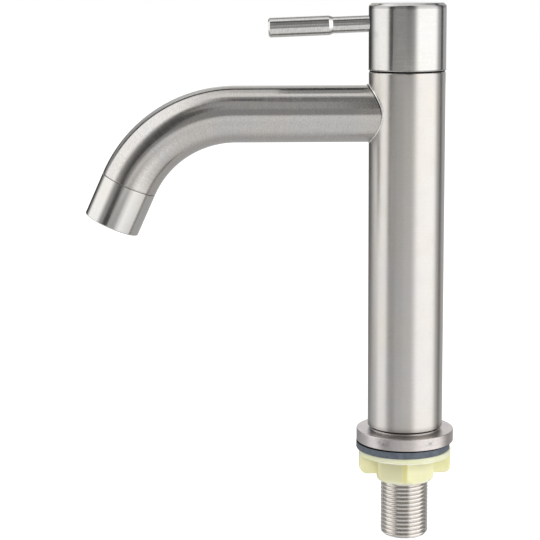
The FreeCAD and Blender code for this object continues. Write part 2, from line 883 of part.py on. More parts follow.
def make_grub_screw():
    body = turned("grub_screw", [
        ("0", "grub_start"),
        ("lever_thread_radius - 1", "grub_start"),
        ("lever_thread_radius - screw_gap", "grub_start + 1"),
        ("lever_thread_radius - screw_gap", "grub_end"),
        ("0", "grub_end"),
    ])
    key = sketch_on(body, "XY_Plane", "grub_end")
    draw_outline(key, hexagon("grub_key"))
    pocket(body, key, "grub_key_depth")
    place(body, z="lever_height", turn="lever_turn")


def make_lever():
    """One turned bar: a threaded end, a slim stem, a conical shoulder and a thicker grip."""
    body = turned("lever", [
        ("0", "lever_start"),
        ("lever_thread_radius - screw_gap", "lever_start"),
        ("lever_thread_radius - screw_gap", "lever_seat"),
        ("lever_stem_radius", "lever_seat"),
        ("lever_stem_radius", "lever_step"),
        ("lever_grip_radius", "lever_step + lever_shoulder"),
        ("lever_grip_radius", "lever_reach - lever_chamfer"),
        ("lever_grip_radius - lever_chamfer", "lever_reach"),
        ("0", "lever_reach"),
    ])
    place(body, z="lever_height", turn="lever_turn")


def checked_parts():
    """Every labelled sub-part, once the whole document has been found sound."""
    doc.recompute()
    for item in doc.Objects:
        if "Invalid" in item.State or "Error" in item.State:
            raise RuntimeError(f"{item.Label} failed: {item.State}")
    parts = [item for item in doc.Objects if item.TypeId == "PartDesign::Body"]
    parts += list(discs)
    for item in parts:
        shape = item.Shape
        if shape.isNull() or not shape.isValid() or not shape.Solids:
            raise RuntimeError(f"{item.Label} has no sound solid")
    return parts


make_base_flange()
make_threaded_shank()
make_riser_pipe()
make_base_gasket()
make_backnut()
make_body_tube()
make_spout_tube()
make_outlet()
make_valve_housing()
make_cartridge_body()
make_valve_seals()
discs = make_ceramic_discs()
make_spindle()
make_spindle_washers()
make_glide_ring()
make_handle_shell()
make_handle_core()
make_grub_screw()
make_lever()

os.makedirs("parts", exist_ok=True)
for part in checked_parts():
    part.Shape.exportStep(f"parts/{part.Label}.step")
    box = part.Shape.BoundBox
    print(f"{part.Label}: {len(part.Shape.Solids)} solid, {part.Shape.Volume:.1f} mm3,"
          f" x {box.XMin:.2f}..{box.XMax:.2f}, z {box.ZMin:.2f}..{box.ZMax:.2f}")
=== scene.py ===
import json
import math

import bpy
from mathutils import Matrix, Vector


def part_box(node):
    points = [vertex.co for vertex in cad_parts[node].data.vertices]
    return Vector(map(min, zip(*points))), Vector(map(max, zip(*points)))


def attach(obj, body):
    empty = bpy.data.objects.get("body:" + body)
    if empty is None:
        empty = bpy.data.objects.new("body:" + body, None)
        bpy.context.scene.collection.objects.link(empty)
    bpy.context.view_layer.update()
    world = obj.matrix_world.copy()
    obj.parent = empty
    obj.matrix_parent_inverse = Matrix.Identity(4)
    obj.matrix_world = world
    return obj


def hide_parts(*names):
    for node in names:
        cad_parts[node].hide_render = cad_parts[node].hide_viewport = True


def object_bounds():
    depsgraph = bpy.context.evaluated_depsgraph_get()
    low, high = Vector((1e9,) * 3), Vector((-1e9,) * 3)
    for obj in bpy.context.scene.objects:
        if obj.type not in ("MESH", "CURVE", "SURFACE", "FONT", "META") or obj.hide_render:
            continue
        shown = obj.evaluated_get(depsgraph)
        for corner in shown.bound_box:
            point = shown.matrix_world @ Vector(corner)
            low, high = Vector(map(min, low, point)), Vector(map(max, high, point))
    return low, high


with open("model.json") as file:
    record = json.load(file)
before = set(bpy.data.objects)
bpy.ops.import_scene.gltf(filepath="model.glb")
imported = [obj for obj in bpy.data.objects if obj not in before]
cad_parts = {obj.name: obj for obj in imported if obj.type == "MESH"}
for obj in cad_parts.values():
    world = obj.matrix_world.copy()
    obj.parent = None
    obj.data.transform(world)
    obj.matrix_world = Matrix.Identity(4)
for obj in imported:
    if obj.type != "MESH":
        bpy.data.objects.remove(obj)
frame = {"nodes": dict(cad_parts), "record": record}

cad_low, cad_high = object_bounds()

# Looks of a cold water tap: brushed steel column and spout, polished handle, plastic backnut.
# Lengths are in metres, worked out from the frame, or millimetres times MM.

MM = 0.001
AROUND = 192
CORNER_STEPS = 5
FULL_TURN = 2 * math.pi
SHARP_ANGLE = math.radians(38)
# Shorter than anything drawn, and larger than zero.
TINY = 1e-6


# Sizes that come from the frame.


def radius_of(node):
    """Half the width along Y of a node that is round about Z."""
    low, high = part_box(node)
    return (high.y - low.y) / 2


column_low, column_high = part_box("body_tube")
shell_low, shell_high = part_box("handle_shell")
ring_low, ring_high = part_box("glide_ring")
_, flange_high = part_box("base_flange")
gasket_low, gasket_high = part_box("base_gasket")
nut_low, nut_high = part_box("backnut")
shank_low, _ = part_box("threaded_shank")
COLUMN_RADIUS = radius_of("body_tube")
SHELL_RADIUS = radius_of("handle_shell")
RING_RADIUS = radius_of("glide_ring")
FLANGE_RADIUS = radius_of("base_flange")
GASKET_RADIUS = radius_of("base_gasket")
SHANK_RADIUS = radius_of("threaded_shank")
SPOUT_RADIUS = radius_of("spout_tube")

# Sizes that the boxes don't give. An EDGE is how much an edge is rounded.
INNER_EDGE = 0.2 * MM
SEAM_EDGE = 0.1 * MM

# Column, spout and outlet. The column is drawn a little higher than its solid.
COLUMN_WALL = 1.5 * MM
COLUMN_LIFT = 0.12 * MM
COLUMN_FOOT_EDGE, COLUMN_TOP_EDGE = 0.25 * MM, 0.8 * MM
SPOUT_DROP = 18.0 * MM
SPOUT_WALL = 1.2 * MM
SPOUT_STRAIGHT = 74.0 * MM
BEND_RADIUS = 51.5 * MM
BEND_ANGLE = math.radians(65.5)
SPOUT_END_EDGE = 0.22 * MM
STRAIGHT_STEPS, BEND_STEPS = 16, 60
SLEEVE_SEAM = 0.15 * MM
SLEEVE_LENGTH = 19.5 * MM
SLEEVE_WALL = 1.35 * MM
SLEEVE_LIP_HEIGHT = 2.3 * MM
SLEEVE_LIP_REACH = 0.75 * MM
SLEEVE_END_EDGE, SLEEVE_LIP_EDGE = 0.45 * MM, 0.25 * MM
WELD_RADIUS, WELD_FOOT_RADIUS = 0.50 * MM, 0.32 * MM
# The dark line beside the weld is painted shade, a thin near-black tube: its thickness at the top and at
# the foot.
WELD_SHADE_RADIUS, WELD_SHADE_FOOT_RADIUS = 0.20 * MM, 0.02 * MM
# How quickly the weld's lines get finer from the spout's middle downwards, and their sides.
WELD_FADE = 1.6
WELD_SIDES = 12

# Flange, glide ring and gasket. A rebate's or groove's height and its DEPTH have a name each, and
# SEAM_GROOVE is both.
FLANGE_THICKNESS = 5.6 * MM
FLANGE_REBATE = 0.40 * MM
FLANGE_REBATE_DEPTH = 0.4 * MM
FLANGE_FOOT_EDGE, FLANGE_RIM_EDGE, FLANGE_NECK_EDGE = 0.12 * MM, 0.35 * MM, 0.3 * MM
NECK_SETBACK = 1.0 * MM
SEAM_GROOVE = 0.7 * MM
RING_GROOVE = 0.70 * MM
RING_GROOVE_DEPTH = 0.25 * MM
RING_LIFT = 0.1 * MM
RING_CONE = 0.3 * MM
RING_EDGE = 0.06 * MM
RING_BORE = 13.6 * MM
GASKET_HOLE = 11.4 * MM
GASKET_REBATE = 0.36 * MM
GASKET_REBATE_DEPTH = 1.0 * MM
GASKET_EDGE = 0.45 * MM

# Shank and thread. The socket takes the inner pipe.
SHANK_BORE = 7.0 * MM
SHANK_END_RADIUS = SHANK_RADIUS - 1.2 * MM
SHANK_END_EDGE = 0.3 * MM
SHANK_ENGAGEMENT = 12.0 * MM
SOCKET_RADIUS = SHANK_BORE + 0.6 * MM
SOCKET_FLOOR = -2.0 * MM
THREAD_PITCH = 1.814 * MM
THREAD_DEPTH = 1.162 * MM
THREAD_TOP = -1.0 * MM
# Shares of half a pitch: where the crest ends and where the root begins.
THREAD_CREST, THREAD_ROOT = 0.28, 0.95
THREAD_STEPS = 16

# Handle and lever. The lever's shoulder is drawn 0.3 mm further out than on its solid.
SHELL_WALL = 1.5 * MM
SHELL_ROOF = 1.6 * MM
SHELL_ROOF_EDGE = 0.3 * MM
SHELL_CHAMFER = 0.15 * MM
SHELL_FOOT_EDGE = 0.05 * MM
# The corners of the handle's crown: how far in from the wall, how far below the top, how rounded.
CROWN_DROP = 1.15 * MM
CROWN = ((1.25 * MM, 0.0, 0.5 * MM), (0.08 * MM, CROWN_DROP, 0.8 * MM), (0.0, 3.0 * MM, 12.0 * MM))
# Bands of painted shade below the crown, slightly darker: their foot and head below the top, and how
# dark. They lie inside a radius wider than the handle, which is all the way round it.
CROWN_SHADE_BANDS = ((1.8 * MM, CROWN_DROP, 0.42), (2.4 * MM, 1.8 * MM, 0.25))
CROWN_SHADE_RADIUS = 2 * SHELL_RADIUS
LEVER_RISE = 20.0 * MM
LEVER_DROOP = math.radians(2.0)
LEVER_START = 9.3 * MM
LEVER_STEP = 31.9 * MM
LEVER_SHOULDER = 1.7 * MM
LEVER_REACH = 59.6 * MM
STEM_RADIUS = 3.6 * MM
GRIP_RADIUS = 4.25 * MM
LEVER_CHAMFER = 0.7 * MM
LEVER_STEP_EDGE, LEVER_SHOULDER_EDGE, LEVER_END_EDGE = 0.12 * MM, 0.4 * MM, 0.25 * MM
LEVER_AROUND = 96

# Backnut: a disc, a hexagonal hub and two wings. Its top stops just short of the gasket.
NUT_TURN = math.radians(3.0)
NUT_RADIUS = 20.5 * MM
NUT_BORE = 10.55 * MM
NUT_GAP = 0.02 * MM
NUT_DISC = 2.6 * MM
NUT_EDGE = 0.4 * MM
NUT_BEVEL, NUT_BEVEL_WIDTH = 0.4 * MM, 0.35 * MM
NUT_SOFTNESS = 0.45 * MM
NUT_AROUND = 720
HUB_FLAT = 12.3 * MM
HUB_CORNER_LOSS = 0.12 * MM
HUB_CHAMFER, HUB_CHAMFER_SPARE = 2.4 * MM, 0.1 * MM
HUB_END_EDGE = 0.25 * MM
HUB_STEP = 0.25 * MM
WING_HALF = 4.0 * MM
WING_DROP = 8.5 * MM
WING_ROUNDING = 3.0 * MM
WING_STEPS = 12

# Heights above the deck.
SPOUT_HEIGHT = column_high.z - SPOUT_DROP
LEVER_HEIGHT = shell_low.z + LEVER_RISE


# Meshes.


def finish_mesh(name, verts, faces, face_uvs, grain, body, slot, *nodes, material=None):
    """A smooth-shaded piece with a brushing direction, which rides on a body and stands for nodes.

    Its material is its slot's, unless another is named."""
    mesh = bpy.data.meshes.new(name)
    mesh.from_pydata(verts, [], faces)
    brush = mesh.uv_layers.new(name="brush")
    brush.data.foreach_set("uv", [value for face in face_uvs for corner in face for value in corner])
    rest = mesh.attributes.new("grain", "FLOAT_VECTOR", "POINT")
    rest.data.foreach_set("vector", [value for point in grain for value in point])
    mesh.shade_smooth()
    mesh.set_sharp_from_angle(angle=SHARP_ANGLE)
    piece = bpy.data.objects.new(name, mesh)
    bpy.context.scene.collection.objects.link(piece)
    weighted = piece.modifiers.new("weighted", "WEIGHTED_NORMAL")
    weighted.keep_sharp = True
    mesh.materials.append(MATERIALS[material or slot])
    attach(piece, body)
    if nodes:
        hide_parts(*nodes)
    return piece


def skin(rows, closed):
    """Faces and their (along, around) uvs over rows of rings, each a list of points.

    A ring of one point is a pole. closed joins the last row to the first."""
    verts, starts = [], []
    for row in rows:
        starts.append(len(verts))
        verts.extend(row)
    lengths = [0.0]
    for i in range(1, len(rows)):
        lengths.append(lengths[-1] + (Vector(rows[i][0]) - Vector(rows[i - 1][0])).length)
    lengths.append(lengths[-1] + (Vector(rows[0][0]) - Vector(rows[-1][0])).length)

    def corner(row, place, along, around):
        index = starts[row] + (place if len(rows[row]) > 1 else 0)
        return index, (along, around)

    count = max(len(row) for row in rows)
    faces, uvs = [], []
    for i in range(len(rows) if closed else len(rows) - 1):
        j = (i + 1) % len(rows)
        low, high = lengths[i], lengths[i + 1]
        for k in range(count):
            n = (k + 1) % count
            near, far = k / count, (k + 1) / count
            a, b = corner(i, k, low, near), corner(i, n, low, far)
            c, d = corner(j, n, high, far), corner(j, k, high, near)
            loop = [a, b, c, d]
            if a[0] == b[0]:
                loop = [a, c, d]
            if c[0] == d[0]:
                loop = [a, b, c]
            faces.append([index for index, _ in loop])
            uvs.append([place for _, place in loop])
    return verts, faces, uvs


def rounded(corners, closed):
    """Points of an outline given as (radius, height, rounding) corners, with arcs at the corners."""
    points = []
    for i, (x, y, rounding) in enumerate(corners):
        here = Vector((x, y))
        at_end = not closed and i in (0, len(corners) - 1)
        if rounding <= 0 or at_end:
            points.append(here)
            continue
        before = Vector(corners[i - 1][:2]) - here
        after = Vector(corners[(i + 1) % len(corners)][:2]) - here
        half = before.angle(after) / 2
        first = here + before.normalized() * rounding / math.tan(half)
        last = here + after.normalized() * rounding / math.tan(half)
        centre = here + (before.normalized() + after.normalized()).normalized() * rounding / math.sin(half)
        swing = (first - centre).angle_signed(last - centre)
        for step in range(CORNER_STEPS + 1):
            turn = Matrix.Rotation(-swing * step / CORNER_STEPS, 2)
            points.append(centre + turn @ (first - centre))
    return points


def turned(name, corners, body, slot, *nodes, place=Matrix.Identity(4), around=AROUND):
    """A lathe-turned piece. Its outline is closed unless it starts on the axis."""
    closed = corners[0][0] > 0
    angles = [FULL_TURN * k / around for k in range(around)]
    rows = []
    for point in rounded(corners, closed):
        if point.x < TINY:
            rows.append([(0.0, 0.0, point.y)])
        else:
            rows.append([(point.x * math.sin(a), point.x * math.cos(a), point.y) for a in angles])
    verts, faces, uvs = skin(rows, closed)
    placed = [tuple(place @ Vector(v)) for v in verts]
    return finish_mesh(name, placed, faces, uvs, verts, body, slot, *nodes)


# Shader helpers.


class Graph:
    """Short ways to add nodes to one shader tree."""

    def __init__(self, tree):
        self.tree = tree
        tree.nodes.clear()

    def put(self, kind, inputs=None, **settings):
        """Adds a node. inputs gives a value, or another node's output, for its sockets."""
        made = self.tree.nodes.new(kind)
        for key, value in settings.items():
            setattr(made, key, value)
        for key, value in (inputs or {}).items():
            if isinstance(value, bpy.types.NodeSocket):
                self.tree.links.new(value, made.inputs[key])
            else:
                made.inputs[key].default_value = value
        return made

    def math(self, operation, *values):
        return self.put("ShaderNodeMath", dict(enumerate(values)), operation=operation).outputs[0]

    def smooth(self, value, low, high, start=0.0, end=1.0):
        """Goes smoothly from start to end as value goes from low to high."""
        inputs = {"Value": value, "From Min": low, "From Max": high, "To Min": start, "To Max": end}
        made = self.put("ShaderNodeMapRange", inputs, interpolation_type="SMOOTHSTEP")
        return made.outputs["Result"]

    def window(self, value, low, high, soft):
        """One between low and high, zero outside, with soft edges."""
        rise = self.smooth(value, low - soft, low + soft)
        fall = self.smooth(value, high - soft, high + soft, 1.0, 0.0)
        return self.math("MULTIPLY", rise, fall)

    def mix(self, factor, a, b):
        """Between two numbers."""
        made = self.put("ShaderNodeMix", {0: factor, 2: a, 3: b}, data_type="FLOAT")
        return made.outputs[0]

    def blend(self, factor, a, b):
        """Between two colours."""
        made = self.put("ShaderNodeMix", {0: factor, 6: a, 7: b}, data_type="RGBA")
        return made.outputs[2]

    def noise(self, vector, scale, detail=3.0, roughness=0.55):
        inputs = {"Vector": vector, "Scale": scale, "Detail": detail, "Roughness": roughness}
        return self.put("ShaderNodeTexNoise", inputs).outputs[0]

    def stretch(self, vector, factors):
        made = self.put("ShaderNodeVectorMath", {0: vector, 1: factors}, operation="MULTIPLY")
        return made.outputs[0]

    def dim(self, colour, factor):
        made = self.put("ShaderNodeVectorMath", {0: colour, "Scale": factor}, operation="SCALE")
        return made.outputs[0]

    def mix_shaders(self, factor, a, b):
        return self.put("ShaderNodeMixShader", {0: factor, 1: a.outputs[0], 2: b.outputs[0]})

    def surface(self, shader, kind="ShaderNodeOutputMaterial"):
        """Ends the tree in this shader."""
        self.put(kind, {"Surface": shader.outputs[0]})


WHITE = (1, 1, 1, 1)


def new_material(name):
    material = bpy.data.materials.new(name)
    material.use_nodes = True
    return material, Graph(material.node_tree)


def opaque(colour):
    return (*colour, 1.0)


# Materials.

# Every material by its name.
MATERIALS = {}
# How fine the brushing is, per metre across, in depth and along the axis: it runs round the axis.
BRUSH_LINES = (150, 150, 3600)
BRUSH_DASHES = (900, 900, 2600)
BRUSH_BANDS = (45, 45, 620)
CLOUD_SCALE, PATCH_SCALE, SMUDGE_SCALE = 38.0, 130.0, 300.0
BRUSH_DEPTH = 0.04 * MM
# Where the flange's rim is smudged: heights, and places to each side, from, to and softness.
SMUDGE_HEIGHTS = (2.4 * MM, 4.6 * MM, 1.2 * MM)
SMUDGE_SIDES = (9.0 * MM, 12.5 * MM, 2.5 * MM)
SMUDGE_COLOUR = (0.16, 0.175, 0.15)
# Painted shade: the near-black colour painted into grooves, seams and gaps, and how softly it starts and
# ends in height.
PAINTED_SHADE_COLOUR = (0.012, 0.012, 0.013)
PAINTED_SHADE_SOFTNESS = 0.04 * MM


def brushed(name, cool, warm, roughness, anisotropy, streaks, speckle, relief=0.1, stains=0.0,
            painted_shade=(), foot=None):
    """Steel brushed round its axis. Highlights stretch along the axis, and fine streaks run round it.

    relief is the strength of the brushed bump. stains smudge the rim. The painted-shade list gives
    grooves and recesses painted dark where shade falls, each as the radius below which it lies, its
    softness, the heights that it lies between and its strength. foot is (low, high, brightness):
    painted shade that makes the piece darker towards its foot."""
    material, g = new_material(name)
    grain = g.put("ShaderNodeAttribute", attribute_name="grain").outputs["Vector"]
    lines = g.noise(g.stretch(grain, BRUSH_LINES), 1.0, 3.0, 0.7)
    dashes = g.noise(g.stretch(grain, BRUSH_DASHES), 1.0, 2.0, 0.7)
    bands = g.noise(g.stretch(grain, BRUSH_BANDS), 1.0, 2.0)
    cloud = g.noise(grain, CLOUD_SCALE, 3.0)
    patch = g.noise(grain, PATCH_SCALE, 5.0, 0.65)
    streak = g.math("MULTIPLY_ADD", bands, 0.25, g.math("MULTIPLY", lines, 0.75))
    tone = g.blend(g.smooth(cloud, 0.38, 0.62), opaque(cool), opaque(warm))
    shade = g.smooth(streak, 0.35, 0.65, 1.0 - streaks, 1.0)
    shade = g.math("MULTIPLY", shade, g.smooth(dashes, 0.35, 0.65, 1.0 - speckle, 1.0))
    colour = g.dim(tone, shade)
    across, depth, height = g.put("ShaderNodeSeparateXYZ", {0: grain}).outputs
    if stains:
        rim = g.window(height, *SMUDGE_HEIGHTS)
        beside = g.window(g.math("ABSOLUTE", across), *SMUDGE_SIDES)
        smudge = g.smooth(g.noise(grain, SMUDGE_SCALE, 5.0, 0.7), 0.42, 0.58)
        dull = g.math("MULTIPLY", smudge, g.math("MULTIPLY", g.math("MULTIPLY", rim, beside), stains))
        colour = g.blend(dull, colour, opaque(SMUDGE_COLOUR))
    off_axis = g.math("SQRT", g.math("MULTIPLY_ADD", across, across, g.math("MULTIPLY", depth, depth)))
    # Painted shade: each groove or recess is painted dark where shade falls in it.
    for start, soft, low, high, strength in painted_shade:
        inside = g.smooth(off_axis, start - soft, start, strength, 0.0)
        shade_mask = g.math("MULTIPLY", inside, g.window(height, low, high, PAINTED_SHADE_SOFTNESS))
        colour = g.blend(shade_mask, colour, opaque(PAINTED_SHADE_COLOUR))
    # Painted shade: the piece is darker towards its foot.
    if foot:
        foot_low, foot_high, foot_shade_brightness = foot
        colour = g.dim(colour, g.smooth(height, foot_low, foot_high, foot_shade_brightness, 1.0))
    rough = g.math("ADD", g.smooth(streak, 0.3, 0.7, -0.03, 0.03), roughness)
    rough = g.math("ADD", rough, g.smooth(patch, 0.4, 0.7, -0.01, 0.03))
    scratches = g.math("MULTIPLY_ADD", dashes, 0.5, streak)
    bump = g.put("ShaderNodeBump", {"Strength": relief, "Distance": BRUSH_DEPTH, "Height": scratches})
    tangent = g.put("ShaderNodeTangent", direction_type="UV_MAP", uv_map="brush")
    shader = g.put("ShaderNodeBsdfPrincipled", {
        "Base Color": colour, "Roughness": rough, "Metallic": 1.0, "Anisotropic": anisotropy,
        "Normal": bump.outputs[0], "Tangent": tangent.outputs[0],
    })
    g.surface(shader)
    MATERIALS[name] = material


# The black of painted shade on plain materials.
PAINTED_SHADE_BLACK = (0.004, 0.004, 0.005)
PLAIN_DEPTH = 0.1 * MM


def plain(name, dark, light, roughness, scale, metallic=0.0, bump=0.0, painted_shade_above=None):
    """Mottled plastic, rubber, ceramic or cast metal. It can be painted black above a height, as painted
    shade.
    """
    material, g = new_material(name)
    place = g.put("ShaderNodeTexCoord").outputs["Object"]
    mottle = g.noise(place, scale, 4.0, 0.6)
    speck = g.noise(place, scale * 9, 2.0)
    colour = g.blend(g.smooth(mottle, 0.3, 0.7), opaque(dark), opaque(light))
    # Painted shade: black above the given height.
    if painted_shade_above is not None:
        height = g.put("ShaderNodeSeparateXYZ", {0: place}).outputs["Z"]
        shade_mask = g.smooth(height, painted_shade_above - 0.05 * MM, painted_shade_above)
        colour = g.blend(shade_mask, colour, opaque(PAINTED_SHADE_BLACK))
    rough = g.math("ADD", g.smooth(speck, 0.3, 0.7, -0.06, 0.06), roughness)
    relief = g.put("ShaderNodeBump", {"Strength": bump, "Distance": PLAIN_DEPTH, "Height": speck})
    shader = g.put("ShaderNodeBsdfPrincipled", {
        "Base Color": colour, "Roughness": rough, "Metallic": metallic,
        "Normal": relief.outputs[0],
    })
    g.surface(shader)
    MATERIALS[name] = material


# Colours of the nut, each from a darker to a paler mottle: the thick hub and the thin disc.
NUT_THICK = ((0.80, 0.78, 0.47), (0.87, 0.84, 0.55))
NUT_THIN = ((0.73, 0.74, 0.48), (0.79, 0.79, 0.58))
# Single places of the nut: a yellow strip in the hub's front and the face left of it, painted
# shade, and two pale ones, painted light, on the hub's lower end and the disc's lower edge.
NUT_SHADE_STRIP, NUT_LEFT_FACE_SHADE = (0.74, 0.71, 0.33), (0.72, 0.70, 0.45)
NUT_END_LIGHT, NUT_DISC_EDGE_LIGHT = (0.88, 0.87, 0.66), (0.96, 0.96, 0.84)
NUT_SHADE_STRIP_LEFT, NUT_SHADE_STRIP_RIGHT = -2.2 * MM, -0.3 * MM
NUT_DISC_EDGE_LIGHT_HEIGHT = 0.4 * MM


def nut_plastic():
    """Milky plastic that lets some light in. The grain is the place on the nut before its turn."""
    material, g = new_material("nut_plastic")
    place = g.put("ShaderNodeTexCoord").outputs["Object"]
    height = g.put("ShaderNodeSeparateXYZ", {0: place}).outputs["Z"]
    mottle = g.smooth(g.noise(place, 120.0, 4.0, 0.6), 0.3, 0.7)
    speck = g.noise(place, 1400.0, 2.0)
    thick = g.blend(mottle, opaque(NUT_THICK[0]), opaque(NUT_THICK[1]))
    thin = g.blend(mottle, opaque(NUT_THIN[0]), opaque(NUT_THIN[1]))
    grain = g.put("ShaderNodeAttribute", attribute_name="grain").outputs["Vector"]
    across, depth, _ = g.put("ShaderNodeSeparateXYZ", {0: grain}).outputs
    # Painted shade: the front strip of the hub and the face left of it are painted a deeper yellow.
    front = g.smooth(depth, -0.7 * HUB_FLAT, -0.5 * HUB_FLAT, 1.0, 0.0)
    strip = g.math("MULTIPLY", front, g.window(across, NUT_SHADE_STRIP_LEFT, NUT_SHADE_STRIP_RIGHT, 0.5 * MM))
    thick = g.blend(strip, thick, opaque(NUT_SHADE_STRIP))
    left_face_shade = g.math("MULTIPLY", front, g.window(across, -HUB_FLAT, NUT_SHADE_STRIP_LEFT, 0.6 * MM))
    thick = g.blend(left_face_shade, thick, opaque(NUT_LEFT_FACE_SHADE))
    disc_share = g.smooth(height, nut_high.z - 1.4 * NUT_DISC, nut_high.z - 0.6 * NUT_DISC)
    # Painted light: the hub's lower end is paler.
    end_light_share = g.smooth(height, nut_low.z, nut_low.z + HUB_CHAMFER, 0.8, 0.0)
    colour = g.blend(end_light_share, g.blend(disc_share, thick, thin), opaque(NUT_END_LIGHT))
    # Painted highlight: a pale band along the disc's lower edge.
    disc_low = nut_high.z - NUT_DISC
    disc_foot_light = g.window(height, disc_low, disc_low + NUT_DISC_EDGE_LIGHT_HEIGHT, 0.15 * MM)
    outside = g.smooth(g.math("ABSOLUTE", depth), 0.70 * NUT_RADIUS, 0.80 * NUT_RADIUS)
    colour = g.blend(g.math("MULTIPLY", disc_foot_light, outside), colour, opaque(NUT_DISC_EDGE_LIGHT))
    relief = g.put("ShaderNodeBump", {"Strength": 0.06, "Distance": PLAIN_DEPTH, "Height": speck})
    shader = g.put("ShaderNodeBsdfPrincipled", {
        "Base Color": colour, "Roughness": g.smooth(speck, 0.3, 0.7, 0.36, 0.46),
        "Subsurface Weight": 0.55, "Subsurface Radius": (1.0, 0.9, 0.5),
        "Subsurface Scale": 4.0 * MM, "Sheen Weight": 0.35, "Sheen Roughness": 0.45,
        "Normal": relief.outputs[0],
    })
    g.surface(shader)
    MATERIALS["nut_plastic"] = material


# Painted shade: the column is painted black at its top edge under the glide ring, and darker towards its
# foot.
brushed(
    "column_steel", (0.69, 0.67, 0.65), (0.70, 0.665, 0.62),
    roughness=0.31, anisotropy=0.83, streaks=0.035, speckle=0.035, relief=0.08,
    painted_shade=[(COLUMN_RADIUS - 0.22 * MM, 0.5 * MM, column_high.z - 0.5 * MM, shell_low.z, 1.0)],
    foot=(column_low.z, column_low.z + 2.8 * MM, 0.68))
brushed(
    "spout_steel", (0.68, 0.665, 0.65), (0.70, 0.67, 0.635),
    roughness=0.165, anisotropy=0.8, streaks=0.07, speckle=0.13, relief=0.26)
brushed(
    "sleeve_steel", (0.69, 0.68, 0.66), (0.70, 0.68, 0.645),
    roughness=0.15, anisotropy=0.8, streaks=0.04, speckle=0.04, relief=0.05)
# Painted shade: the handle is slightly darker in bands below its crown.
brushed(
    "handle_steel", (0.70, 0.69, 0.68), (0.70, 0.685, 0.65),
    roughness=0.18, anisotropy=0.85, streaks=0.04, speckle=0.05, relief=0.12,
    painted_shade=[
        (CROWN_SHADE_RADIUS, MM, shell_high.z - foot, shell_high.z - head, darkness)
        for foot, head, darkness in CROWN_SHADE_BANDS
    ])
brushed(
    "lever_steel", (0.86, 0.85, 0.84), (0.86, 0.845, 0.82),
    roughness=0.06, anisotropy=0.75, streaks=0.06, speckle=0.20, relief=0.12)
# Painted shade: the glide ring is painted black in the groove under it.
brushed(
    "ring_steel", (0.92, 0.91, 0.90), (0.90, 0.89, 0.88),
    roughness=0.26, anisotropy=0.3, streaks=0.1, speckle=0.1,
    painted_shade=[(RING_RADIUS - 0.35 * MM, 0.1 * MM, column_low.z, column_high.z + RING_GROOVE, 1.0)])
brushed(
    "weld_steel", (0.96, 0.955, 0.94), (0.95, 0.94, 0.92),
    roughness=0.26, anisotropy=0.1, streaks=0.03, speckle=0.03)
# Painted shade: near-black steel for the dark line beside the weld.
brushed(
    "weld_shade_steel", (0.06, 0.06, 0.058), (0.05, 0.05, 0.05),
    roughness=0.3, anisotropy=0.1, streaks=0.1, speckle=0.1)
# Painted shade: the flange is painted black in the seam groove at the neck and in the rebate at its foot,
# and a little darker on its top round the neck.
brushed(
    "flange_steel", (0.68, 0.64, 0.64), (0.73, 0.68, 0.65),
    roughness=0.36, anisotropy=0.5, streaks=0.08, speckle=0.12, stains=0.8,
    painted_shade=[
        (COLUMN_RADIUS - NECK_SETBACK - 0.1 * MM, 0.2 * MM,
         column_low.z - SEAM_GROOVE, shell_low.z, 1.0),
        (COLUMN_RADIUS + 0.4 * MM, 1.2 * MM, FLANGE_THICKNESS - 0.2 * MM, shell_low.z, 0.22),
        (FLANGE_RADIUS - 0.1 * MM, 0.1 * MM, -FLANGE_REBATE, FLANGE_REBATE, 1.0),
    ])
brushed(
    "shank_steel", (0.78, 0.75, 0.72), (0.81, 0.78, 0.74),
    roughness=0.17, anisotropy=0.2, streaks=0.03, speckle=0.05)
plain(
    "inner_steel", (0.50, 0.49, 0.47), (0.60, 0.59, 0.57),
    roughness=0.35, scale=300, metallic=1.0, bump=0.1)
plain(
    "core_zinc", (0.42, 0.43, 0.44), (0.52, 0.53, 0.54),
    roughness=0.5, scale=400, metallic=1.0, bump=0.3)
plain(
    "brass", (0.60, 0.42, 0.18), (0.72, 0.53, 0.26),
    roughness=0.32, scale=260, metallic=1.0, bump=0.1)
plain(
    "ceramic", (0.78, 0.77, 0.74), (0.86, 0.85, 0.82), roughness=0.18, scale=500)
# Painted shade: the gasket is painted black above its rebate, under the flange.
plain(
    "gasket_rubber", (0.075, 0.092, 0.120), (0.110, 0.130, 0.155),
    roughness=0.5, scale=420, bump=0.25, painted_shade_above=gasket_high.z - GASKET_REBATE)
plain(
    "seal_rubber", (0.02, 0.02, 0.022), (0.04, 0.04, 0.042), roughness=0.5, scale=500, bump=0.2)
nut_plastic()
plain(
    "aerator_plastic", (0.60, 0.60, 0.58), (0.70, 0.70, 0.68), roughness=0.4, scale=300, bump=0.1)


# Column, handle and base.


def make_column():
    low, high = column_low.z + COLUMN_LIFT, column_high.z + COLUMN_LIFT
    bore = COLUMN_RADIUS - COLUMN_WALL
    turned("column_tube", [
        (bore, low, INNER_EDGE), (COLUMN_RADIUS, low, COLUMN_FOOT_EDGE),
        (COLUMN_RADIUS, high, COLUMN_TOP_EDGE), (bore, high, INNER_EDGE),
    ], "tap_body", "column_steel", "body_tube")


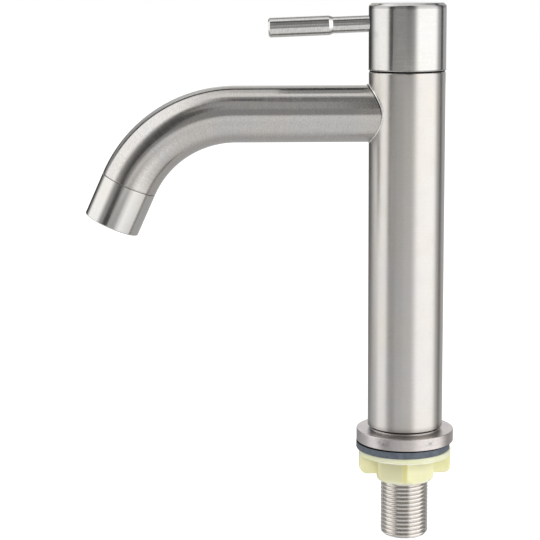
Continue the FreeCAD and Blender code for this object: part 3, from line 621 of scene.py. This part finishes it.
def make_flange():
    rim, top, neck_top = FLANGE_RADIUS, FLANGE_THICKNESS, column_low.z
    neck = COLUMN_RADIUS - NECK_SETBACK
    spigot = COLUMN_RADIUS - COLUMN_WALL
    turned("base_flange_turned", [
        (SHANK_RADIUS, 0.0, INNER_EDGE), (rim - FLANGE_REBATE_DEPTH, 0.0, 0.0),
        (rim - FLANGE_REBATE_DEPTH, FLANGE_REBATE, 0.0), (rim, FLANGE_REBATE, FLANGE_FOOT_EDGE),
        (rim, top, FLANGE_RIM_EDGE), (neck, top, FLANGE_NECK_EDGE),
        (neck, neck_top - SEAM_GROOVE, SEAM_EDGE),
        (neck - SEAM_GROOVE, neck_top - SEAM_GROOVE, 0.0), (neck - SEAM_GROOVE, neck_top, 0.0),
        (spigot, neck_top, 0.0),
        (spigot, flange_high.z, FLANGE_NECK_EDGE), (SHANK_RADIUS, flange_high.z, FLANGE_NECK_EDGE),
    ], "tap_body", "flange_steel", "base_flange")


def make_gasket():
    middle = (gasket_low.x + gasket_high.x) / 2
    low, high = gasket_low.z, gasket_high.z
    recess = GASKET_RADIUS - GASKET_REBATE_DEPTH
    turned("base_gasket_ring", [
        (GASKET_HOLE, low, INNER_EDGE), (GASKET_RADIUS, low, GASKET_EDGE),
        (GASKET_RADIUS, high - GASKET_REBATE, SEAM_EDGE), (recess, high - GASKET_REBATE, 0.0),
        (recess, high, 0.0), (GASKET_HOLE, high, INNER_EDGE),
    ], "gasket", "gasket_rubber", "base_gasket",
        place=Matrix.Translation((middle, 0, 0)))


def make_glide_ring():
    spigot = COLUMN_RADIUS - COLUMN_WALL
    groove = COLUMN_RADIUS - RING_GROOVE_DEPTH
    turned("glide_ring_turned", [
        (RING_BORE, ring_low.z, INNER_EDGE), (spigot, ring_low.z, INNER_EDGE),
        (spigot, column_high.z, 0.0), (groove, column_high.z, 0.0),
        (groove, column_high.z + RING_GROOVE, 0.0),
        (RING_RADIUS - RING_CONE, column_high.z + RING_GROOVE, 0.0),
        (RING_RADIUS, ring_high.z + RING_LIFT, RING_EDGE),
        (RING_BORE, ring_high.z + RING_LIFT, INNER_EDGE),
    ], "tap_body", "ring_steel", "glide_ring")


def make_handle_shell():
    low, high = shell_low.z, shell_high.z
    bore = SHELL_RADIUS - SHELL_WALL
    crown = [(SHELL_RADIUS - inwards, high - drop, rounding) for inwards, drop, rounding in CROWN]
    turned("handle_cap", [
        (0.0, high, 0.0), *crown,
        (SHELL_RADIUS, low + SHELL_CHAMFER, SEAM_EDGE),
        (SHELL_RADIUS - SHELL_CHAMFER, low, SHELL_FOOT_EDGE),
        (bore, low, INNER_EDGE),
        (bore, high - SHELL_ROOF, SHELL_ROOF_EDGE), (0.0, high - SHELL_ROOF, 0.0),
    ], "handle", "handle_steel", "handle_shell")


def make_lever():
    lean = Matrix.Rotation(-(math.pi / 2 + LEVER_DROOP), 4, "Y")
    place = Matrix.Translation((0, 0, LEVER_HEIGHT)) @ lean
    bar = turned("lever_bar", [
        (0.0, LEVER_START, 0.0), (STEM_RADIUS, LEVER_START, INNER_EDGE),
        (STEM_RADIUS, LEVER_STEP, LEVER_STEP_EDGE),
        (GRIP_RADIUS, LEVER_STEP + LEVER_SHOULDER, LEVER_SHOULDER_EDGE),
        (GRIP_RADIUS, LEVER_REACH - LEVER_CHAMFER, LEVER_END_EDGE),
        (GRIP_RADIUS - LEVER_CHAMFER, LEVER_REACH, LEVER_END_EDGE), (0.0, LEVER_REACH, 0.0),
    ], "handle", "lever_steel", "lever", place=place, around=LEVER_AROUND)
    # In the photo the polished cap doesn't mirror the lever.
    bar.visible_glossy = False


# Spout and outlet.


def spout_frame(length):
    """Centre and upward normal of the spout's line, this far along it from the column's axis."""
    if length <= SPOUT_STRAIGHT:
        return Vector((-length, 0, SPOUT_HEIGHT)), Vector((0, 0, 1))
    angle = (length - SPOUT_STRAIGHT) / BEND_RADIUS
    out = Vector((-math.sin(angle), 0, math.cos(angle)))
    return Vector((-SPOUT_STRAIGHT, 0, SPOUT_HEIGHT - BEND_RADIUS)) + out * BEND_RADIUS, out


def make_spout():
    """A bent tube from a saddle on the column to the seam, outside and inside."""
    end = SPOUT_STRAIGHT + BEND_RADIUS * BEND_ANGLE
    bore = SPOUT_RADIUS - SPOUT_WALL
    edge = SPOUT_END_EDGE
    bent = end - edge - SPOUT_STRAIGHT
    outer = [i / STRAIGHT_STEPS * SPOUT_STRAIGHT for i in range(STRAIGHT_STEPS + 1)]
    outer += [SPOUT_STRAIGHT + bent * i / BEND_STEPS for i in range(1, BEND_STEPS + 1)]
    steps = [(SPOUT_RADIUS, length) for length in outer]
    for i in range(1, CORNER_STEPS + 1):
        swing = math.pi / 2 * i / CORNER_STEPS
        steps.append((SPOUT_RADIUS - edge * (1 - math.cos(swing)), end - edge * (1 - math.sin(swing))))
    steps += [(bore, end)] + [(bore, length) for length in reversed(outer)]
    rows, grain = [], []
    for radius, length in steps:
        centre, out = spout_frame(length)
        row = []
        for k in range(AROUND):
            turn = FULL_TURN * k / AROUND
            side = radius * math.sin(turn)
            point = centre + out * radius * math.cos(turn) + Vector((0, side, 0))
            saddle = -math.sqrt(COLUMN_RADIUS ** 2 - side ** 2)
            if length <= SPOUT_STRAIGHT:
                share = length / SPOUT_STRAIGHT
                point.x = saddle + (-SPOUT_STRAIGHT - saddle) * share
            row.append(tuple(point))
            grain.append((radius * math.cos(turn), side, length))
        rows.append(row)
    verts, faces, uvs = skin(rows, True)
    finish_mesh("spout_bent_tube", verts, faces, uvs, grain, "tap_body", "spout_steel", "spout_tube")


def make_root_line(name, top_radius, foot_radius, setback, material):
    """A fine line round the spout's root: the polished bead, or a dark line of painted shade beside it."""
    rows, grain = [], []
    for k in range(AROUND):
        turn = FULL_TURN * k / AROUND
        side = SPOUT_RADIUS * math.sin(turn)
        depth = math.sqrt(COLUMN_RADIUS ** 2 - side ** 2)
        share = min(max(0.5 + WELD_FADE * math.cos(turn), 0.0), 1.0)
        radius = foot_radius + (top_radius - foot_radius) * share
        centre = Vector((-depth - setback, side, SPOUT_HEIGHT + SPOUT_RADIUS * math.cos(turn)))
        off_spout = Vector((0, math.sin(turn), math.cos(turn)))
        off_column = Vector((-depth, side, 0)).normalized()
        off_column = (off_column - off_spout * off_column.dot(off_spout)).normalized()
        row = []
        for j in range(WELD_SIDES):
            swing = FULL_TURN * j / WELD_SIDES
            point = centre + radius * (off_spout * math.cos(swing) + off_column * math.sin(swing))
            row.append(tuple(point))
            grain.append(tuple(point))
        rows.append(row)
    verts, faces, uvs = skin(rows, True)
    finish_mesh(name, verts, faces, uvs, grain, "tap_body", "spout_steel", material=material)


def make_sleeve():
    end, _ = spout_frame(SPOUT_STRAIGHT + BEND_RADIUS * BEND_ANGLE)
    lean = Matrix.Rotation(-(math.pi / 2 + BEND_ANGLE), 4, "Y")
    bore = SPOUT_RADIUS - SLEEVE_WALL
    turned("outlet_sleeve_turned", [
        (bore, SLEEVE_SEAM, SEAM_EDGE), (SPOUT_RADIUS, SLEEVE_SEAM, SPOUT_END_EDGE),
        (SPOUT_RADIUS, SLEEVE_LENGTH, SLEEVE_END_EDGE),
        (bore - SLEEVE_LIP_REACH, SLEEVE_LENGTH, SLEEVE_LIP_EDGE),
        (bore - SLEEVE_LIP_REACH, SLEEVE_LENGTH - SLEEVE_LIP_HEIGHT, SEAM_EDGE),
        (bore, SLEEVE_LENGTH - SLEEVE_LIP_HEIGHT, SEAM_EDGE),
    ], "tap_body", "sleeve_steel", "outlet_sleeve",
        place=Matrix.Translation(end) @ lean)


# Threaded shank and backnut.


def make_shank_thread():
    """A right-hand helical thread: every row of the mesh follows the helix."""
    low = shank_low.z
    count = (math.ceil((THREAD_TOP - low) / THREAD_PITCH) + 1) * THREAD_STEPS
    rows = []
    for i in range(count):
        row = []
        for k in range(AROUND):
            turn = FULL_TURN * k / AROUND
            climb = (i / THREAD_STEPS - 1 + k / AROUND) * THREAD_PITCH
            height = min(max(low + climb, low), THREAD_TOP)
            off_crest = 1 - abs(2 * (i / THREAD_STEPS % 1) - 1)
            flank = min(max((off_crest - THREAD_CREST) / (THREAD_ROOT - THREAD_CREST), 0.0), 1.0)
            valley = flank * flank * (3 - 2 * flank)
            radius = SHANK_RADIUS - THREAD_DEPTH * valley
            # The lower end is chamfered by 45 degrees.
            radius = min(radius, SHANK_END_RADIUS + (height - low))
            row.append((radius * math.cos(turn), radius * math.sin(turn), height))
        rows.append(row)
    verts, faces, uvs = [], [], []
    for row in rows:
        verts.extend(row)
    for i in range(count - 1):
        for k in range(AROUND):
            n = (k + 1) % AROUND
            # The last column joins the first one, a whole turn further up.
            next_turn = THREAD_STEPS if n == 0 else 0
            if i + 1 + next_turn >= count:
                continue
            a, b = i * AROUND + k, (i + next_turn) * AROUND + n
            c, d = (i + 1 + next_turn) * AROUND + n, (i + 1) * AROUND + k
            # Rows that lie flat on either end of the thread are left out.
            if verts[a][2] == verts[d][2] and verts[b][2] == verts[c][2]:
                continue
            faces.append([a, b, c, d])
            low_u, high_u = i * THREAD_PITCH / THREAD_STEPS, (i + 1) * THREAD_PITCH / THREAD_STEPS
            near, far = k / AROUND, (k + 1) / AROUND
            uvs.append([(low_u, near), (low_u, far), (high_u, far), (high_u, near)])
    used = sorted({index for face in faces for index in face})
    number = {index: i for i, index in enumerate(used)}
    verts = [verts[index] for index in used]
    faces = [[number[index] for index in face] for face in faces]
    finish_mesh("shank_thread", verts, faces, uvs, verts, "tap_body", "shank_steel", "threaded_shank")


def make_shank_core():
    low = shank_low.z
    turned("shank_core", [
        (SHANK_BORE, low, SHANK_END_EDGE), (SHANK_END_RADIUS, low, INNER_EDGE),
        (SHANK_END_RADIUS, THREAD_TOP, 0.0), (SHANK_RADIUS, THREAD_TOP, 0.0),
        (SHANK_RADIUS, SHANK_ENGAGEMENT, INNER_EDGE), (SOCKET_RADIUS, SHANK_ENGAGEMENT, 0.0),
        (SOCKET_RADIUS, SOCKET_FLOOR, 0.0), (SHANK_BORE, SOCKET_FLOOR, 0.0),
    ], "tap_body", "shank_steel")


def soft_min(a, b, width):
    """The smaller of two numbers, with the corner between them rounded."""
    share = max(0.0, min(1.0, 0.5 + 0.5 * (b - a) / width))
    return b * (1 - share) + a * share - width * share * (1 - share)


def make_backnut():
    """A moulded nut, lofted from slices: hexagonal hub, two wings and the disc on top."""
    top, low = nut_high.z - NUT_GAP, nut_low.z
    under_disc = top - NUT_DISC
    wing_low = under_disc - WING_DROP
    corner = HUB_FLAT / math.cos(math.pi / 6)

    def hub(turn):
        off_flat = (turn + math.pi / 6) % (math.pi / 3) - math.pi / 6
        return soft_min(HUB_FLAT / math.cos(off_flat), corner - HUB_CORNER_LOSS, NUT_SOFTNESS)

    def slice_at(turn, reach):
        side = WING_HALF / max(abs(math.sin(turn)), TINY)
        wing = soft_min(side, reach, NUT_SOFTNESS)
        return -soft_min(-hub(turn), -wing, NUT_SOFTNESS)

    def ring(height, radius_at):
        turns = [FULL_TURN * k / NUT_AROUND for k in range(NUT_AROUND)]
        return [(radius_at(t) * math.cos(t), radius_at(t) * math.sin(t), height) for t in turns]

    def chamfered(height):
        slope = (corner - HUB_FLAT + HUB_CHAMFER_SPARE) / HUB_CHAMFER
        cone = HUB_FLAT + (height - low) * slope
        return lambda turn: soft_min(hub(turn), cone, NUT_SOFTNESS)

    rows = [
        ring(low + NUT_BEVEL, lambda turn: NUT_BORE),
        ring(low, lambda turn: NUT_BORE + NUT_BEVEL_WIDTH),
        ring(low, lambda turn: chamfered(low)(turn) - HUB_END_EDGE),
    ]
    for i in range(1, math.ceil(HUB_CHAMFER / HUB_STEP)):
        height = low + HUB_STEP * i
        rows.append(ring(height, chamfered(height)))
    rows.append(ring(wing_low, hub))
    rows.append(ring(wing_low, lambda turn: slice_at(turn, NUT_RADIUS - WING_ROUNDING)))
    for i in range(1, WING_STEPS + 1):
        swing = math.pi / 2 * i / WING_STEPS
        reach = NUT_RADIUS - WING_ROUNDING * (1 - math.sin(swing))
        height = wing_low + WING_ROUNDING * (1 - math.cos(swing))
        rows.append(ring(height, lambda turn, reach=reach: slice_at(turn, reach)))
    rows.append(ring(under_disc, lambda turn: slice_at(turn, NUT_RADIUS)))
    for i in range(CORNER_STEPS + 1):
        swing = math.pi / 2 * i / CORNER_STEPS
        rim = NUT_RADIUS - NUT_EDGE * (1 - math.sin(swing))
        height = under_disc + NUT_EDGE * (1 - math.cos(swing))
        rows.append(ring(height, lambda turn, rim=rim: rim))
    for i in range(CORNER_STEPS + 1):
        swing = math.pi / 2 * i / CORNER_STEPS
        rim = NUT_RADIUS - NUT_EDGE * (1 - math.cos(swing))
        height = top - NUT_EDGE * (1 - math.sin(swing))
        rows.append(ring(height, lambda turn, rim=rim: rim))
    rows.append(ring(top, lambda turn: NUT_BORE))
    verts, faces, uvs = skin(rows, True)
    place = Matrix.Rotation(NUT_TURN, 4, "Z")
    placed = [tuple(place @ Vector(v)) for v in verts]
    finish_mesh("backnut_moulding", placed, faces, uvs, verts, "backnut", "nut_plastic", "backnut")


def dress_cad_nodes():
    """Every CAD node that still shows gets the material of its slot."""
    for subpart in frame["record"]["subparts"]:
        mesh = frame["nodes"][subpart["node"]].data
        mesh.materials.clear()
        mesh.materials.append(MATERIALS[subpart["material_slot"]])


# Studio: camera, light and floor.

# Angles in radians: the camera looks along +Y, turned a little to the left and down.
CAMERA_PLACE = Vector((-42.59, -728.76, 207.60)) * MM
CAMERA_YAW = -0.02341
CAMERA_PITCH = 0.17725
CAMERA_ROLL = -0.00716
CAMERA_LENS = 112.195
SENSOR_WIDTH = 36.0


def make_camera():
    forward = Vector((
        math.sin(CAMERA_YAW) * math.cos(CAMERA_PITCH),
        math.cos(CAMERA_YAW) * math.cos(CAMERA_PITCH),
        -math.sin(CAMERA_PITCH),
    ))
    level = Vector((math.cos(CAMERA_YAW), -math.sin(CAMERA_YAW), 0))
    upright = level.cross(forward)
    right = level * math.cos(CAMERA_ROLL) + upright * math.sin(CAMERA_ROLL)
    up = upright * math.cos(CAMERA_ROLL) - level * math.sin(CAMERA_ROLL)
    data = bpy.data.cameras.new("camera")
    data.lens = CAMERA_LENS
    data.sensor_width = SENSOR_WIDTH
    camera = bpy.data.objects.new("camera", data)
    bpy.context.scene.collection.objects.link(camera)
    turn = Matrix((right, up, -forward)).transposed().to_4x4()
    camera.matrix_world = Matrix.Translation(CAMERA_PLACE) @ turn
    bpy.context.scene.camera = camera


ROOM = 0.36
# The floor's brightness in front and behind, how far it fades, and where the room begins above it.
FLOOR_FRONT, FLOOR_BACK = 0.76, 0.50
FLOOR_FADE = (-0.3, 0.5)
HORIZON = (-6.0, 2.0)
# Each patch of the studio: brightness; azimuth from, to, softness; elevation from, to, softness;
# and how much it widens upwards. All in degrees: azimuth 0 is towards the camera and grows to the
# right, and elevation grows upwards.
PATCHES = {
    "floor_glow": (0.79, -38, 24, 12, -24, -5, 5, 0.0),
    "upper_back": (0.62, 150, 400, 12, 10, 90, 3, 0.0),
    "upper_back_left": (0.62, -400, -150, 12, 10, 90, 3, 0.0),
    "left_high": (0.80, -165, -60, 12, 34, 90, 10, 0.0),
    "brow": (0.09, -14, 60, 6, 54, 70, 4, 0.0),
    "shade_middle": (0.25, -40, -12, 8, -9, 4, 4, 0.0),
    "left_softbox": (1.30, -119, -59, 13, -22, 66, 14, 0.3),
    "left_low": (0.42, -130, -100, 6, -40, -8, 6, 0.0),
    "shade_left": (0.28, -64, -38, 7, -30, -7, 4, 0.0),
    "left_back": (0.05, -170, -133, 10, -12, 10, 8, 0.0),
    "right_softbox": (1.50, 23, 97, 12, -30, 58, 22, 0.0),
    "right_back": (0.48, 104, 166, 8, -50, 44, 14, 0.0),
    "right_back_line": (0.10, 114, 128, 5, -18, 40, 8, 0.0),
    "back_white": (1.0, 170, 400, 3, -20, 30, 6, 0.0),
    "back_white_left": (1.0, -400, -172, 3, -20, 30, 6, 0.0),
}
# A bright strip overhead: from behind straight up to in front of it, in degrees, and how soft.
OVERHEAD = 0.92
OVERHEAD_TILT = (-8.0, 13.0, 3.0)
# A dark hoop behind the tap, which draws the thin line along the top of the whole spout. Its reach
# is a share of the way towards the camera, and it fades out below HOOP_RISE.
HOOP = 0.02
HOOP_REACH = (-0.62, -0.48, 0.03)
HOOP_RISE = (12.0, 22.0)


def make_world():
    """A studio seen in the steel as bands; the camera itself sees plain white."""
    world = bpy.data.worlds.new("studio")
    bpy.context.scene.world = world
    world.use_nodes = True
    g = Graph(world.node_tree)
    direction = g.put("ShaderNodeTexCoord").outputs["Generated"]
    x, y, z = g.put("ShaderNodeSeparateXYZ", {0: direction}).outputs
    towards = g.math("MULTIPLY", y, -1.0)
    azimuth = g.math("DEGREES", g.math("ARCTAN2", x, towards))
    elevation = g.math("DEGREES", g.math("ARCSINE", z))
    tilt = g.math("DEGREES", g.math("ARCTAN2", towards, z))
    floor = g.smooth(towards, *FLOOR_FADE, FLOOR_BACK, FLOOR_FRONT)
    light = g.mix(g.smooth(elevation, *HORIZON), floor, ROOM)
    for brightness, left, right, side_soft, low, high, height_soft, spread in PATCHES.values():
        middle = (left + right) / 2
        off_middle = g.math("ABSOLUTE", g.math("SUBTRACT", azimuth, middle))
        reach = g.math("MULTIPLY_ADD", elevation, -spread, off_middle)
        half = (right - left) / 2
        across = g.smooth(reach, half - side_soft, half + side_soft, 1.0, 0.0)
        upward = g.window(elevation, low, high, height_soft)
        light = g.mix(g.math("MULTIPLY", across, upward), light, brightness)
    overhead = g.math("MULTIPLY", g.window(tilt, *OVERHEAD_TILT), OVERHEAD)
    light = g.math("MAXIMUM", light, overhead)
    hoop = g.math("MULTIPLY", g.window(towards, *HOOP_REACH), g.smooth(elevation, *HOOP_RISE))
    light = g.mix(hoop, light, HOOP)
    studio = g.put("ShaderNodeBackground", {"Color": WHITE, "Strength": light})
    white = g.put("ShaderNodeBackground", {"Color": WHITE, "Strength": 1.0})
    from_camera = g.put("ShaderNodeLightPath").outputs["Is Camera Ray"]
    g.surface(g.mix_shaders(from_camera, studio, white), "ShaderNodeOutputWorld")


def add_stage_face(name, corners, material):
    """A four-cornered face with one material, linked to the scene for the floor and the cards."""
    mesh = bpy.data.meshes.new(name)
    mesh.from_pydata(corners, [], [(0, 1, 2, 3)])
    mesh.materials.append(material)
    face = bpy.data.objects.new(name, mesh)
    bpy.context.scene.collection.objects.link(face)
    return face


def add_card(name, corners, material, g, cover, brightness):
    """A face that only the steel sees: this bright where cover is one, and clear where it is zero."""
    glow = g.put("ShaderNodeEmission", {"Color": WHITE, "Strength": brightness})
    clear = g.put("ShaderNodeBsdfTransparent")
    g.surface(g.mix_shaders(cover, clear, glow))
    card = add_stage_face(name, corners, material)
    card.visible_camera = False
    card.visible_diffuse = False
    card.visible_shadow = False


# Cards in front of the tap: distance; brightness at the foot and at the head; left and its
# softness, right and its softness; low, high and their softness. Lengths are in metres.
CARDS = {
    "card_lever": (0.050, 0.22, 0.22, -0.062, 0.002, -0.012, 0.004, 0.2035, 0.243, 0.0015),
    "card_dark": (0.1360, 0.09, 0.09, -0.210, 0.046, -0.178, 0.006, 0.122, 0.36, 0.010),
    "card_stripe": (0.1365, 0.07, 0.07, -0.222, 0.022, -0.170, 0.003, 0.070, 0.120, 0.006),
    "card_spout": (0.1370, 0.31, 0.41, -0.122, 0.003, -0.014, 0.002, 0.150, 0.35, 0.008),
    "card_cap": (0.1375, 0.30, 0.04, -0.014, 0.002, 0.040, 0.034, 0.150, 0.35, 0.008),
    "card_sleeve": (0.1380, 0.48, 0.48, -0.169, 0.003, -0.100, 0.014, 0.034, 0.090, 0.008),
}
# Between which heights a card's foot turns into its head.
CARD_STEP = (0.196, 0.214)
# Where a card's right edge steps sideways: from and to which height, and how far to the right.
CARD_BULGES = {"card_dark": ((0.118, 0.165, 0.050), (0.190, 0.205, 0.018), (0.235, 0.270, -0.045))}
# The strip that stands for the lever in the spout's reflection: reach, front and back, brightness
# of its front and of its back, and between which places the one turns into the other.
LEVER_SHADE_REACH = 55.5 * MM
LEVER_SHADE_FRONT, LEVER_SHADE_BACK = -7.2 * MM, 7.2 * MM
LEVER_SHADE_BRIGHT, LEVER_SHADE_DARK = 0.36, 0.03
LEVER_SHADE_STEP = (3.4 * MM, 4.6 * MM)


def make_card(name, distance, foot, head, left, left_soft, right, right_soft, low, high, height_soft):
    """An upright soft-edged grey card."""
    bulges = CARD_BULGES.get(name, ())
    left_end = left - left_soft
    right_end = right + right_soft + sum(max(shift, 0.0) for _, _, shift in bulges)
    low_end, high_end = low - height_soft, high + height_soft
    outline = [(left_end, low_end), (right_end, low_end), (right_end, high_end), (left_end, high_end)]
    corners = [(side, -distance, height) for side, height in outline]
    material, g = new_material(name)
    place = g.put("ShaderNodeTexCoord").outputs["Object"]
    x, _, z = g.put("ShaderNodeSeparateXYZ", {0: place}).outputs
    rise = g.smooth(x, left - left_soft, left + left_soft)
    past_edge = x
    for from_height, to_height, shift in bulges:
        past_edge = g.math("SUBTRACT", past_edge, g.smooth(z, from_height, to_height, 0.0, shift))
    fall = g.smooth(past_edge, right - right_soft, right + right_soft, 1.0, 0.0)
    across = g.math("MULTIPLY", rise, fall)
    cover = g.math("MULTIPLY", across, g.window(z, low, high, height_soft))
    add_card(name, corners, material, g, cover, g.smooth(z, *CARD_STEP, foot, head))


def make_lever_shade():
    """A strip where the lever is, seen only from below, so the spout mirrors it and the cap doesn't."""
    level = LEVER_HEIGHT - STEM_RADIUS
    left, right = -LEVER_SHADE_REACH, -SHELL_RADIUS
    front, back = LEVER_SHADE_FRONT, LEVER_SHADE_BACK
    corners = [(left, front, level), (right, front, level), (right, back, level), (left, back, level)]
    material, g = new_material("lever_shade")
    from_below = g.put("ShaderNodeNewGeometry").outputs["Backfacing"]
    place = g.put("ShaderNodeTexCoord").outputs["Object"]
    depth = g.put("ShaderNodeSeparateXYZ", {0: place}).outputs["Y"]
    brightness = g.smooth(depth, *LEVER_SHADE_STEP, LEVER_SHADE_BRIGHT, LEVER_SHADE_DARK)
    add_card("lever_shade", corners, material, g, from_below, brightness)


# The lamps' places in metres and their watts.
LAMPS = {"lamp_left": ((-0.7, -1.0, 0.7), 3.5), "lamp_right": ((0.8, -0.9, 0.5), 5.4)}
LAMP_SIZE = 0.8


def make_lamp(name, place, watts):
    """A soft lamp for the plastic and rubber, which leaves the steel's reflections alone."""
    data = bpy.data.lights.new(name, "AREA")
    data.energy = watts
    data.size = LAMP_SIZE
    lamp = bpy.data.objects.new(name, data)
    lamp.location = place
    lamp.rotation_mode = "QUATERNION"
    lamp.rotation_quaternion = (-Vector(place)).to_track_quat("-Z", "Y")
    lamp.visible_glossy = False
    bpy.context.scene.collection.objects.link(lamp)


FLOOR_HALF = 3.0
FLOOR_PALE, FLOOR_SEEN = (0.80, 0.80, 0.80), (0.40, 0.40, 0.40)
FLOOR_GLOW = 0.86


def make_floor():
    """A pale floor under the tap. The camera sees it glow nearly white, with the tap's shadow."""
    level = cad_low.z
    places = [(-1, -1), (1, -1), (1, 1), (-1, 1)]
    corners = [(FLOOR_HALF * x, FLOOR_HALF * y, level) for x, y in places]
    material, g = new_material("floor")
    pale = g.put("ShaderNodeBsdfDiffuse", {"Color": opaque(FLOOR_PALE)})
    grey = g.put("ShaderNodeBsdfDiffuse", {"Color": opaque(FLOOR_SEEN)})
    glow = g.put("ShaderNodeEmission", {"Color": WHITE, "Strength": FLOOR_GLOW})
    seen = g.put("ShaderNodeAddShader", {0: grey.outputs[0], 1: glow.outputs[0]})
    from_camera = g.put("ShaderNodeLightPath").outputs["Is Camera Ray"]
    g.surface(g.mix_shaders(from_camera, pale, seen))
    floor = add_stage_face("floor", corners, material)
    floor.visible_glossy = False


make_camera()
make_world()
for card_name, card_sizes in CARDS.items():
    make_card(card_name, *card_sizes)
make_lever_shade()
for lamp_name, lamp_facts in LAMPS.items():
    make_lamp(lamp_name, *lamp_facts)
make_floor()
bpy.context.scene.view_settings.view_transform = "Standard"

make_column()
make_flange()
make_gasket()
make_glide_ring()
make_handle_shell()
make_lever()
make_spout()
make_root_line("spout_weld", WELD_RADIUS, WELD_FOOT_RADIUS, 0.0, "weld_steel")
# A thin near-black tube beside the weld: painted shade.
make_root_line("spout_weld_shade_line", WELD_SHADE_RADIUS, WELD_SHADE_FOOT_RADIUS,
               WELD_RADIUS + WELD_SHADE_RADIUS, "weld_shade_steel")
make_sleeve()
make_shank_thread()
make_shank_core()
make_backnut()
dress_cad_nodes()
